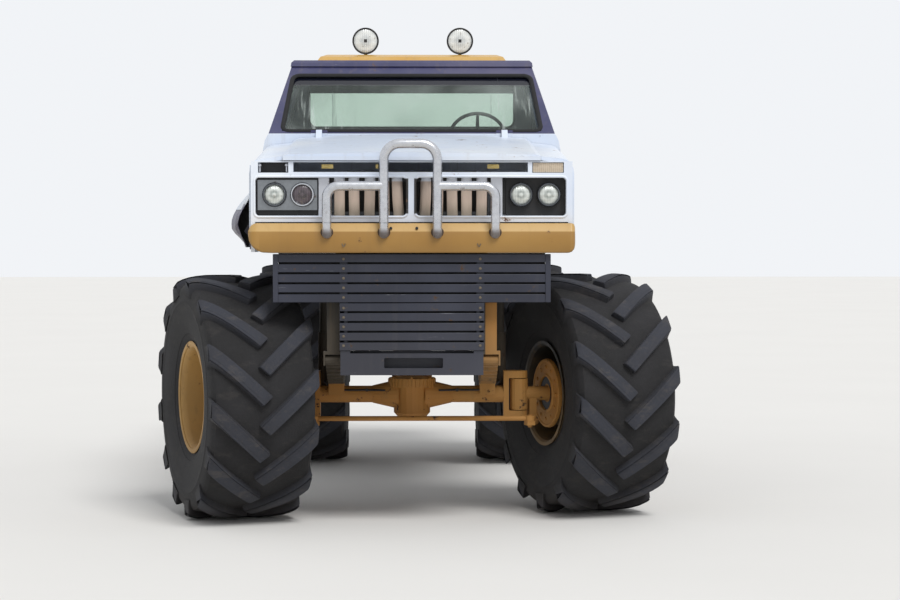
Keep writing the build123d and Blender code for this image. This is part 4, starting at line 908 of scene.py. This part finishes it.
slatLook = {"width": 0.066, "low": 1.921, "high": 2.159, "thick": 0.004, "front": -2.4705, "fold": 0.008}
# columns: x, lean of the foot to the side, bow towards the front, twist in degrees
slatTable = (
    (-0.445, 0.0, 0.004, 0), (-0.356, 0.003, 0.006, 3), (-0.258, -0.005, 0.008, -6),
    (-0.172, 0.003, 0.008, 2), (-0.0905, 0.012, 0.015, 8), (0.086, -0.008, 0.018, -13),
    (0.160, -0.002, 0.006, 2), (0.246, 0.003, 0.005, -3), (0.336, 0.0, 0.006, 4), (0.4305, -0.003, 0.004, -2))
# what holds the slats: two bars, a tab between each pair of slats, and a plate at each end
holderLook = {"barsAt": (1.938, 2.142), "barHalf": 0.010, "barX": (-0.575, 0.558), "barY": (-2.463, -2.449),
              "tabHalf": 0.007, "tabY": (-2.4885, -2.463), "tabZ": (2.146, 2.159),
              "plates": ((-0.574, -0.507), (0.485, 0.557)), "plateY": (-2.486, -2.476),
              "plateZ": (1.921, 2.158)}


def slatBlade(look, row):
    # a thin closed blade: across s in -1..1 and up t in 0..1, bowed forward by bow * sin(pi t) and folded
    # back at both rims
    x0, lean, bow, twist = row
    across = np.array([-1, -0.92, -0.5, 0, 0.5, 0.92, 1.0])
    t, s = np.meshgrid(np.linspace(0, 1, 13), across, indexing="ij")
    half = look["width"] / 2
    x = x0 + half * s + lean * (1 - t) ** 2
    turn = half * s * math.tan(math.radians(twist))
    y = look["front"] - bow * np.sin(np.pi * t) + look["fold"] * np.abs(s) ** 6 + turn
    z = look["low"] + (look["high"] - look["low"]) * t
    front = np.stack([x, y, z], -1)
    back = front + (0, look["thick"], 0)
    ring = np.concatenate([front, back[:, ::-1]], 1)
    return ring.reshape(-1, 3), ringFaces(*ring.shape[:2])


def slatHolders(h, table):
    # the bars with their tabs, and the end plates
    bars, plates = Stack(), Stack()
    for z in h["barsAt"]:
        bars.add(*boxOf(h["barX"], h["barY"], (z - h["barHalf"], z + h["barHalf"])))
    for before, after in zip(table[:-1], table[1:]):
        x = (before[0] + after[0]) / 2
        bars.add(*boxOf((x - h["tabHalf"], x + h["tabHalf"]), h["tabY"], h["tabZ"]))
    for ends in h["plates"]:
        plates.add(*boxOf(ends, h["plateY"], h["plateZ"]))
    return bars, plates


blades = Stack()
for row in slatTable:
    blades.add(*slatBlade(slatLook, row))
slatPiece = blades.piece("slatBlades", satinMetal, "chassis", 50)
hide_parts("grille_slats")
bars, endPlates = slatHolders(holderLook, slatTable)
bars.piece("slatBars", blackPlastic, "chassis", 30, 0.001)
endPlates.piece("slatEndPlates", paleMetal, "chassis", 30, 0.003)

lampLook = {"z": 2.052, "inner": 0.671, "outer": 0.842, "radius": 0.070, "face": -2.49, "proud": 0.022,
            "ringBack": 0.006, "ringMore": 0.004, "domeBack": 0.004, "domeLess": 0.009, "rise": 0.016}
emptyLook = {"lugs": (-0.931, -0.768), "lugY": -2.492, "lugZ": 2.232, "stemHalf": 0.004,
             "stemY": (-2.496, -2.486), "stemZ": (2.192, 2.222),
             "back": ((-0.94, -2.456, 2.186), (-0.756, -2.450, 2.249))}
mouldingLook = {"runs": ((-0.958, -0.035), (0.027, 0.946)), "y": -2.5195, "low": 1.915, "high": 2.163,
                "more": 0.007, "corner": 0.03, "radius": 0.008, "flat": 0.8}
# the clips in the hood's slot: x and half the width of each, then the places that all of them share
clipLook = {"clips": ((-0.518, 0.036), (-0.214, 0.008), (0.50, 0.036)), "bodyY": (-2.488, -2.468),
            "bodyZ": (2.212, 2.238), "tongueY": (-2.494, -2.487), "tongueZ": (2.219, 2.231),
            "tongue": (0.7, 0.2)}


def lampRing(x, y, z, radius):
    # a rolled bright ring
    profile = [(0.0, radius), (0.010, radius - 0.002), (0.016, radius - 0.006), (0.016, radius - 0.011),
               (0.010, radius - 0.014), (0.0, radius - 0.015), (-0.012, radius - 0.008), (-0.012, radius)]
    return turned(profile, (x, y, z), ahead, aside, 48, True)


def lampDome(x, y, z, radius, rise):
    # a shallow dome, height rise * (1 - (r / radius)^2), closed at the back; its point share is r / radius,
    # which places a lens's painted reflections
    segments = 48
    r = np.array([1.0, 0.97, 0.9, 0.8, 0.7, 0.6, 0.5, 0.4, 0.3, 0.2, 0.1, 0.004])
    profile = [(-0.01, radius)] + [(rise * (1 - v ** 2), v * radius) for v in r]
    points, faces = turned(profile, (x, y, z), ahead, aside, segments)
    return points, faces, np.repeat([1.0, *r], segments)


rings, darkRings, clearDomes, deadDomes = Stack(), Stack(), Stack(), Stack()
for side in (-1, 1):
    proud = lampLook["proud"] if side < 0 else 0.0    # the right pair sits further out, in its bezel
    for x in (lampLook["inner"], lampLook["outer"]):
        dead = side < 0 and x == lampLook["inner"]
        ringAt = lampLook["face"] + lampLook["ringBack"] - proud
        domeAt = lampLook["face"] + lampLook["domeBack"] - proud
        ring = lampRing(side * x, ringAt, lampLook["z"], lampLook["radius"] + lampLook["ringMore"])
        (rings if dead else darkRings).add(*ring)
        radius = lampLook["radius"] - lampLook["domeLess"]
        dome = lampDome(side * x, domeAt, lampLook["z"], radius, lampLook["rise"])
        (deadDomes if dead else clearDomes).add(*dome)
rings.piece("deadLampRing", chromeTrim, "chassis", 40)
darkRings.piece("lampRings", darkChrome, "chassis", 40)
clearDomes.piece("lampDomes", clearLens, "chassis", 40)
deadDomes.piece("deadLampDome", deadLens, "chassis", 40)


def emptyLamp(e):
    # what is left in the hole of the missing parking lamp: two pale lugs on stems, and a black back as
    # painted shade in the hole
    lugs, back = Stack(), Stack()
    for x in e["lugs"]:
        profile = [(0.0, 0.009), (0.012, 0.009), (0.014, 0.006), (0.014, 0.002)]
        lugs.add(*turned(profile, (x, e["lugY"], e["lugZ"]), ahead, aside, 20))
        lugs.add(*boxOf((x - e["stemHalf"], x + e["stemHalf"]), e["stemY"], e["stemZ"]))
    back.add(*slab(*e["back"]))
    return lugs, back


def panelFrames(m):
    # a soft moulding round each half of the grille's opening
    stack = Stack()
    for low, high in m["runs"]:
        corners = cornersOf((low - m["more"], high + m["more"]), m["y"], (m["low"], m["high"]))
        stack.add(*tube(softLoop(corners, m["corner"], 7), m["radius"], (0, 1, 0), 12, True, m["flat"]))
    return stack


def slotClips(c):
    # each clip is a flat body with a tongue in front of it
    stack = Stack()
    for x, wide in c["clips"]:
        left, right = (wide * share for share in c["tongue"])
        stack.add(*boxOf((x - wide, x + wide), c["bodyY"], c["bodyZ"]))
        stack.add(*boxOf((x - left, x + right), c["tongueY"], c["tongueZ"]))
    return stack


lugsPale, holeBack = emptyLamp(emptyLook)
lugsPale.piece("emptyLampLugs", paleMetal, "chassis", 30, 0.001)
holeBack.piece("emptyLampBack", blackPlastic, "chassis", 0)
panelFrames(mouldingLook).piece("panelMouldings", panelPaint, "chassis", 50)
slotClips(clipLook).piece("slotClips", creamPlastic, "chassis", 30, 0.002)
print("grille and lamps made")


screenLook = {"foot": (-1.200, 2.470), "run": 0.530, "rise": 0.490, "low": (0.872, 2.494),
              "high": (0.818, 2.894), "corner": 0.05, "seal": 0.016, "flat": 0.7, "lift": 0.004,
              "normal": (0, -0.68, 0.735)}
rearLook = {"half": 0.755, "y": 0.217, "z": (2.570, 2.896), "corner": 0.06, "seal": 0.013, "flat": 0.8}


def screenSeal(s):
    # a flattened cord of rubber round the raked windscreen, on its outer face
    outline = []
    for side, (half, z) in ((-1, s["low"]), (1, s["low"]), (1, s["high"]), (-1, s["high"])):
        share = (z - s["foot"][1]) / s["rise"]
        outline.append((side * half, s["foot"][0] + s["run"] * share, z))
    path = softLoop(outline, s["corner"], 7) + (0, s["lift"], 0)
    return tube(path, s["seal"], s["normal"], 12, True, s["flat"])


def rearSeal(r):
    # the same round the upright rear window
    outline = cornersOf((-r["half"], r["half"]), r["y"], r["z"])
    return tube(softLoop(outline, r["corner"], 7), r["seal"], (0, 1, 0), 12, True, r["flat"])


seals = Stack().add(*screenSeal(screenLook)).add(*rearSeal(rearLook))
seals.piece("windowSeals", sealRubber, "chassis", 40)
print("seals made")


steer = {"centre": (0.450, -0.800, 2.462), "tilt": 32, "ring": 0.192, "grip": 0.012, "spokes": (20, 160, 270),
         "along": (0.02, 0.09), "sunk": (0.012, 0.010, 0.0), "spoke": (0.016, 0.013, 0.009)}


def steeringSet(g):
    # a torus for the rim, three flat spokes, a domed hub and the column down to the dash
    tilt = math.radians(g["tilt"])
    face = np.array([0, math.cos(tilt), math.sin(tilt)])
    side = np.array([1.0, 0, 0])
    up = np.cross(face, side)
    centre = np.array(g["centre"])
    stack = Stack()
    t = 2 * np.pi * np.arange(64) / 64
    circle = centre + g["ring"] * (np.cos(t)[:, None] * side + np.sin(t)[:, None] * up)
    stack.add(*tube(circle, g["grip"], face, 12, True))
    for turn in g["spokes"]:
        a = math.radians(turn)
        way = math.cos(a) * side + math.sin(a) * up
        path = np.array([centre + way * k for k in (*g["along"], g["ring"])])
        path = path - face * np.array(g["sunk"])[:, None]
        stack.add(*tube(path, g["spoke"], face, 10, False, 0.4))
    hub = [(-0.03, 0.034), (-0.008, 0.038), (0.004, 0.034), (0.010, 0.02), (0.012, 0.001)]
    column = [(-0.176, 0.026), (-0.03, 0.026), (-0.028, 0.02)]
    stack.add(*turned(hub, centre, face, side, 32))
    stack.add(*turned(column, centre, face, side, 24))
    return stack


wheelPiece = steeringSet(steer).piece("steeringSet", blackPlastic, "chassis", 40)
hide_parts("steering_wheel")

# the dials' x and radius, and two opposite corners of each panel
dashLook = {"dials": ((0.36, 0.045), (0.47, 0.045), (0.56, 0.028)), "dialsAt": (-0.95, 2.372),
            "panels": (((-0.72, -0.952, 2.315), (-0.36, -0.944, 2.415)),
                       ((-0.10, -0.952, 2.32), (0.14, -0.942, 2.40)))}
dials, panels = Stack(), Stack()
for x, r in dashLook["dials"]:
    profile = [(-0.004, r), (0.006, r), (0.006, r - 0.005), (0.002, r - 0.006), (0.002, 0.002)]
    dials.add(*turned(profile, (x, *dashLook["dialsAt"]), (0, 1, 0), aside, 32))
dials.piece("dashDials", gaugeFace, "chassis", 30)
for low, high in dashLook["panels"]:
    panels.add(*slab(low, high))
panels.piece("dashPanels", cabinPlastic, "chassis", 30, 0.004)

cushionLook = {"base": ((-0.68, -0.555, 1.975), (0.68, -0.095, 2.120)),
               "back": ((-0.68, -0.19, 2.12), (0.68, -0.065, 2.58)),
               "lean": 0.20, "pressure": 4.0, "cap": 0.010, "voxel": 0.015, "frames": 20, "inset": 0.008,
               "round": 0.03, "channel": 0.17, "groove": 0.009, "grooveDepth": 0.007}
standLook = {"box": ((-0.64, -0.50, 1.7605), (0.64, -0.14, 1.975)), "panelHalf": 0.62,
             "panel": ((-0.13, 1.7605), (-0.09, 1.7605), (0.045, 2.56), (0.02, 2.57))}


def pillow(name, low, high, lean, look):
    # a box of cloth swollen by a cloth simulation, then leant back by lean * height
    low, high = np.array(low), np.array(high)
    points, faces = slab(low + look["inset"], high - look["inset"])
    mesh = bpy.data.meshes.new(name)
    mesh.from_pydata(points.tolist(), [], faces)
    pad = bpy.data.objects.new(name, mesh)
    bpy.context.scene.collection.objects.link(pad)
    pad.select_set(True)
    bpy.context.view_layer.objects.active = pad
    shape = pad.modifiers.new("round", "BEVEL")
    shape.width, shape.segments = look["round"], 4
    mould = pad.modifiers.new("voxels", "REMESH")
    mould.mode, mould.voxel_size = "VOXEL", look["voxel"]
    bpy.ops.object.modifier_apply(modifier="round")
    bpy.ops.object.modifier_apply(modifier="voxels")
    before = np.zeros(len(pad.data.vertices) * 3, np.float32)
    pad.data.vertices.foreach_get("co", before)
    cloth = pad.modifiers.new("cloth", "CLOTH")
    cloth.settings.use_pressure = True
    cloth.settings.uniform_pressure_force = look["pressure"]
    cloth.settings.effector_weights.gravity = 0
    cloth.point_cache.frame_start, cloth.point_cache.frame_end = 1, look["frames"]
    for step in range(1, look["frames"] + 1):
        bpy.context.scene.frame_set(step)
    bpy.ops.object.modifier_apply(modifier="cloth")
    bpy.context.scene.frame_set(1)
    after = np.zeros(len(pad.data.vertices) * 3, np.float32)
    pad.data.vertices.foreach_get("co", after)
    start, end = before.reshape(-1, 3), after.reshape(-1, 3)
    move = end - start
    length = np.linalg.norm(move, axis=1)[:, None]
    end = start + move * np.minimum(1, look["cap"] / np.maximum(length, 1e-9))
    # sewn channels: shallow grooves across the pad on its upper or front side
    offLine = (end[:, 0] + look["channel"] / 2) % look["channel"] - look["channel"] / 2
    groove = np.exp(-(offLine / look["groove"]) ** 2) * look["grooveDepth"]
    centre = (low + high) / 2
    out = np.clip((end - centre) / (high - low) * 2, -1, 1)
    if lean:
        end[:, 1] += groove * (out[:, 1] < -0.5)
        end[:, 1] += lean * (end[:, 2] - low[2])
    else:
        end[:, 2] -= groove * (out[:, 2] > 0.5)
    pad.data.vertices.foreach_set("co", end.astype(np.float32).reshape(-1))
    pad.data.polygons.foreach_set("use_smooth", [True] * len(pad.data.polygons))
    pad.data.materials.append(benchCloth)
    smooth = pad.modifiers.new("finer", "SUBSURF")
    smooth.levels = smooth.render_levels = 1
    pad.select_set(False)
    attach(pad, "chassis")
    return pad


seatBase = pillow("seatBase", *cushionLook["base"], 0.0, cushionLook)
seatBack = pillow("seatBack", *cushionLook["back"], cushionLook["lean"], cushionLook)
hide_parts("bench_seat")
stand = Stack()
stand.add(*slab(*standLook["box"]))
stand.add(*plate(standLook["panel"], 0, -standLook["panelHalf"], standLook["panelHalf"]))
stand.piece("seatStand", blackPlastic, "chassis", 30, 0.006)
print("seats made")


flareShape = {"from": -2.40, "to": -1.245, "high": 2.235, "low": 1.715, "side": 1.001, "reach": 0.205,
              "arch": (-1.82, 1.64, 0.44), "thick": 0.004, "litEdgeFrom": 0.80, "litEdgeProud": 0.004,
              "litEdgeLow": 1.965, "swell": 0.36, "tuck": 0.45, "tuckFrom": 1.85, "tuckOver": 0.13,
              "columns": 30, "rows": 18, "flange": (0.016, 0.012), "inset": 0.0005, "bodySide": 1.0008}


def softStep(v):
    # a smooth step from 0 to 1
    v = np.clip(v, 0, 1)
    return v * v * (3 - 2 * v)


def flareSkin(f, start, proud, low):
    # the right fender's bent side: it leaves the body by reach * u^1.6 towards the rear, most at mid height,
    # and its lower edge follows the wheel arch z = middle + sqrt(r^2 - dy^2)
    u, v = np.meshgrid(np.linspace(start, 1, f["columns"]), np.linspace(0, 1, f["rows"]), indexing="ij")
    y = f["from"] + (f["to"] - f["from"]) * u
    middle, base, r = f["arch"]
    arch = base + np.sqrt(np.clip(r ** 2 - (y - middle) ** 2, 0, None))
    floor = np.maximum(low, np.where(np.abs(y - middle) < r, arch, low))
    z = f["high"] - (f["high"] - floor) * v
    tuck = 1 - f["tuck"] * softStep((f["tuckFrom"] - z) / f["tuckOver"])
    out = f["reach"] * u ** 1.6 * softStep((f["high"] - z) / f["swell"]) * tuck
    outer = np.stack([-(f["side"] + out + proud), y, z], -1)
    inner = outer + (f["thick"], 0, 0)
    ring = np.concatenate([outer, inner[:, ::-1]], 1)
    return ring.reshape(-1, 3), ringFaces(*ring.shape[:2])


def flareClosing(f):
    # the dark flange that joins the bent side's rear edge to the body
    points = flareSkin(f, 0.0, 0.0, f["low"])[0].reshape(f["columns"], 2 * f["rows"], 3)
    edge = points[-1, f["rows"]:][:, [0, 2]] + (f["inset"], 0)
    outline = np.concatenate([edge, [(-f["bodySide"], edge[-1, 1]), (-f["bodySide"], edge[0, 1])]])
    return plate(outline, 1, f["to"] - f["flange"][0], f["to"] - f["flange"][1])


closing = Stack().add(*flareClosing(flareShape))
skin = Stack().add(*flareSkin(flareShape, 0.0, 0.0, flareShape["low"]))
# a white strip along the flare's rear edge: the paint's white, carried lower than its paint line as painted
# highlight on the lit edge
rim = Stack().add(*flareSkin(flareShape, flareShape["litEdgeFrom"], flareShape["litEdgeProud"], flareShape["litEdgeLow"]))
closing.piece("fenderFlange", chassisPaint, "chassis", 0)
skin.piece("fenderFlare", flarePaint, "chassis", 50)
rim.piece("fenderFlareLitEdge", whitePaint, "chassis", 50)
print("fender flare made")


axleShape = {"y": -1.82, "z": 0.77456, "kingpin": 0.69, "cap": 0.150, "ribs": 17, "ribSpread": 84,
             "ribLow": 0.052, "ribHigh": 0.102, "sunk": 0.003, "ribProud": 0.005, "ribFoot": 0.005,
             "ribTop": 0.003}
pipeLook = {"ahead": 0.060, "above": 0.030, "from": 0.172, "level": (0.26, 0.50), "to": 0.565,
            "radius": 0.006, "clips": (0.29, 0.45), "clipHalf": (0.008, 0.009), "clipBack": 0.012}
brakeLook = {"plateAt": 0.198, "sunk": 0.0005, "outer": 0.221, "inner": 0.108, "bolts": 12,
             "boltCircle": 0.168, "boltAt": 0.007, "bolt": (0.011, 0.009), "mouth": 0.060}


def axleRibs(c):
    # upright ribs spread evenly round the front of the axle's cap
    stack = Stack()
    centre = np.array([0.0, c["y"], c["z"]])
    inner, outer = c["cap"] - c["sunk"], c["cap"] + c["ribProud"]
    section = ((inner, -c["ribFoot"]), (inner, c["ribFoot"]), (outer, c["ribTop"]), (outer, -c["ribTop"]))
    faces = [[0, 1, 2, 3], [4, 7, 6, 5], [0, 4, 5, 1], [1, 5, 6, 2], [2, 6, 7, 3], [3, 7, 4, 0]]
    for k in range(c["ribs"]):
        a = math.radians(-c["ribSpread"] + 2 * c["ribSpread"] * k / (c["ribs"] - 1))
        out = np.array([math.sin(a), -math.cos(a), 0.0])
        side = np.array([math.cos(a), math.sin(a), 0.0])
        corners = [centre + out * r + side * s + (0, 0, h)
                   for h in (c["ribLow"], c["ribHigh"]) for r, s in section]
        stack.add(corners, faces)
    return stack


def axlePipes(c, p):
    # a brake pipe along each of the axle's tubes, held by clips
    stack = Stack()
    y, z = c["y"] - p["ahead"], c["z"] + p["above"]
    (near, far), (half, high) = p["level"], p["clipHalf"]
    for side in (-1, 1):
        corners = [(side * p["from"], y - 0.030, z), (side * near, y, z), (side * far, y, z),
                   (side * p["to"], y + 0.01, z + 0.055)]
        stack.add(*tube(softPath(corners, 0.03, 6), p["radius"], (0, 1, 0), 10))
        for x in p["clips"]:
            across = (side * x - half, side * x + half)
            stack.add(*boxOf(across, (y - half, y + p["clipBack"]), (z - high, z + high)))
    return stack


def brakeDress(c, b, jointName, name, body, side):
    # a flanged ring with bolts on the inner face of the brake plate, and within it a black disc as painted
    # shade in its mouth
    out = wheelFrame(jointName, side)[1]
    pivot = np.array([side * c["kingpin"], c["y"], c["z"]])
    level = np.array([0.0, 0.0, 1.0])
    spot = pivot + out * (b["plateAt"] - b["sunk"])
    big, small = b["outer"], b["inner"]
    flange = [(0.0, big), (0.009, big), (0.013, big - 0.005), (0.013, big - 0.014), (0.007, big - 0.020),
              (0.007, small + 0.020), (0.016, small + 0.013), (0.016, small + 0.004), (0.010, small),
              (0.0, small)]
    ring = Stack().add(*turned(flange, spot, -out, level, 56, True))
    for k in range(b["bolts"]):
        a = 2 * np.pi * k / b["bolts"]
        way = math.cos(a) * level + math.sin(a) * np.cross(out, level)
        ring.add(*nut(spot + way * b["boltCircle"] - out * b["boltAt"], -out, level, *b["bolt"]))
    disc = [(0.0, small - 0.001), (0.002, small - 0.002), (0.002, b["mouth"]), (0.0, b["mouth"])]
    mouth = Stack().add(*turned(disc, spot, -out, level, 40, True))
    ring.piece(name + "Ring", axlePaint, body, 35)
    mouth.piece(name + "Mouth", blackPlastic, body, 0)


axleRibs(axleShape).piece("axleRibs", axlePaint, "chassis", 0)
axlePipes(axleShape, pipeLook).piece("axlePipes", blackPlastic, "chassis", 40)
for name, side in (("left", 1), ("right", -1)):
    brakeDress(axleShape, brakeLook, f"front_{name}_roll", f"{name}Brake", f"{name}_swivel", side)
print("axle dressed")


# the finish of each solid that stays
solidFinish = {
    "frame_rails": chassisPaint, "cross_members": chassisPaint, "frame_brackets": postPaint,
    "leaf_springs": springPaint, "shock_absorbers": chassisPaint, "front_axle": axlePaint,
    "rear_axle": axlePaint, "engine": engineIron, "gearbox": engineIron, "driveshafts": engineIron,
    "front_step": guardPaint, "radiator": chassisPaint, "grille_panel": panelPaint,
    "left_headlamps": blackPlastic, "right_headlamps": bezelMetal, "parking_lamp": parkLens,
    "left_fender": fenderPaint, "right_fender": fenderPaint, "hood": whitePaint, "cab": cabPaint,
    "roof": roofPaint, "cab_glass": screenGlass, "dash": cabinPlastic, "left_door": navyPaint,
    "right_door": navyPaint, "left_door_glass": doorGlass, "right_door_glass": doorGlass, "bed": navyPaint,
    "tailgate": navyPaint, "tail_lamps": redLens, "left_knuckle": axlePaint, "right_knuckle": axlePaint,
    "tie_rod": axlePaint,
}
for name, material in solidFinish.items():
    solid = nodes[name]
    if solid.material_slots:
        for held in solid.material_slots:
            held.material = material
    else:
        solid.data.materials.append(material)


roofLampLook = {"places": (-0.323, 0.337), "z": 3.149, "y": -0.52, "radius": 0.093, "boss": 0.011,
                "bossY": (0.018, 0.012), "stem": 0.012, "stemBack": 0.045, "stemDrop": 0.07,
                "stemFoot": 3.052, "faceLess": 0.009, "faceRise": 0.014}
shells, faces, bosses = Stack(), Stack(), Stack()
for x in roofLampLook["places"]:
    y, z, r = roofLampLook["y"], roofLampLook["z"], roofLampLook["radius"]
    bowl = [(0.002, r), (-0.03, r * 0.98), (-0.055, r * 0.85), (-0.08, r * 0.55), (-0.092, r * 0.2),
            (-0.093, 0.002)]
    bezel = [(0.001, r), (0.008, r - 0.001), (0.010, r - 0.004), (0.008, r - 0.007), (0.0, r - 0.008),
             (-0.012, r - 0.006), (-0.012, r)]
    stemY = y + roofLampLook["stemBack"]
    stem = [(x, stemY, z - roofLampLook["stemDrop"]), (x, stemY, roofLampLook["stemFoot"])]
    shells.add(*turned(bowl, (x, y, z), ahead, aside, 48))
    shells.add(*tube(stem, roofLampLook["stem"], (0, 1, 0), 14))
    shells.add(*turned(bezel, (x, y, z), ahead, aside, 48, True))
    faces.add(*lampDome(x, y - 0.001, z, r - roofLampLook["faceLess"], roofLampLook["faceRise"]))
    half, (front, back) = roofLampLook["boss"], roofLampLook["bossY"]
    bosses.add(*slab((x - half, y - front, z - half), (x + half, y - back, z + half)))
shellPiece = shells.piece("roofLampShells", blackPlastic, "chassis", 35)
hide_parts("roof_lamps")
faces.piece("roofLampFaces", roofLens, "chassis", 40)
bosses.piece("roofLampBosses", blackPlastic, "chassis", 30, 0.001)
print("roof lamps made")


def stageFloor(name, half):
    # a wide mottled sheet that the truck stands on
    f = Finish(name)
    mottle = f.noise(0.6, 3)
    colour = f.mix(mottle * 0.4, tone(228, 226, 222), tone(216, 214, 210))
    mesh = bpy.data.meshes.new("floor")
    corners = [(-half, -half, 0), (half, -half, 0), (half, half, 0), (-half, half, 0)]
    mesh.from_pydata(corners, [], [(0, 1, 2, 3)])
    mesh.materials.append(f.surface(colour, 0.9))
    floor = bpy.data.objects.new("floor", mesh)
    bpy.context.scene.collection.objects.link(floor)


stageFloor("paleFloor", 60.0)
lightLook = {"sky": 0.62, "backdrop": 0.95, "tint": (0.93, 0.95, 0.98, 1), "sun": 2.1, "sunAngle": 24,
             "sunFrom": (38, 0, 28)}


class Room(Finish):
    # the same maths for the nodes of the world
    def __init__(self, world):
        world.use_nodes = True
        self.tree = world.node_tree
        self.tree.nodes.clear()


def paleRoom(look):
    # the sky lights the object at one strength, and a ray that sees it straight, in a gloss or through glass
    # meets a paler one
    world = bpy.data.worlds.new("paleRoom")
    bpy.context.scene.world = world
    room = Room(world)
    straight = room.node("ShaderNodeLightPath", {}, {}, "Is Camera Ray")
    seen = straight.most(straight.part("Is Glossy Ray")).most(straight.part("Is Transmission Ray"))
    strength = room.node("ShaderNodeMapRange", {},
                         {"Value": seen, "To Min": look["sky"], "To Max": look["backdrop"]})
    back = room.node("ShaderNodeBackground", {}, {"Color": look["tint"], "Strength": strength})
    room.node("ShaderNodeOutputWorld", {}, {"Surface": back})


paleRoom(lightLook)
sun = bpy.data.lights.new("softSun", "SUN")
sun.energy = lightLook["sun"]
sun.angle = math.radians(lightLook["sunAngle"])
sunObject = bpy.data.objects.new("softSun", sun)
sunObject.rotation_euler = [math.radians(v) for v in lightLook["sunFrom"]]
bpy.context.scene.collection.objects.link(sunObject)

view = {"place": (0.0, -16.32, 1.89), "lens": 90.0, "sensor": 36.0, "reach": 200, "down": 2.01, "right": 0.97}
lens = bpy.data.cameras.new("camera")
lens.lens = view["lens"]
lens.sensor_width = view["sensor"]
lens.clip_end = view["reach"]
camera = bpy.data.objects.new("camera", lens)
camera.location = view["place"]
camera.rotation_euler = (math.radians(90 - view["down"]), 0.0, math.radians(-view["right"]))
bpy.context.scene.collection.objects.link(camera)
bpy.context.scene.camera = camera
bpy.context.scene.view_settings.view_transform = "Standard"

print("scene ready")
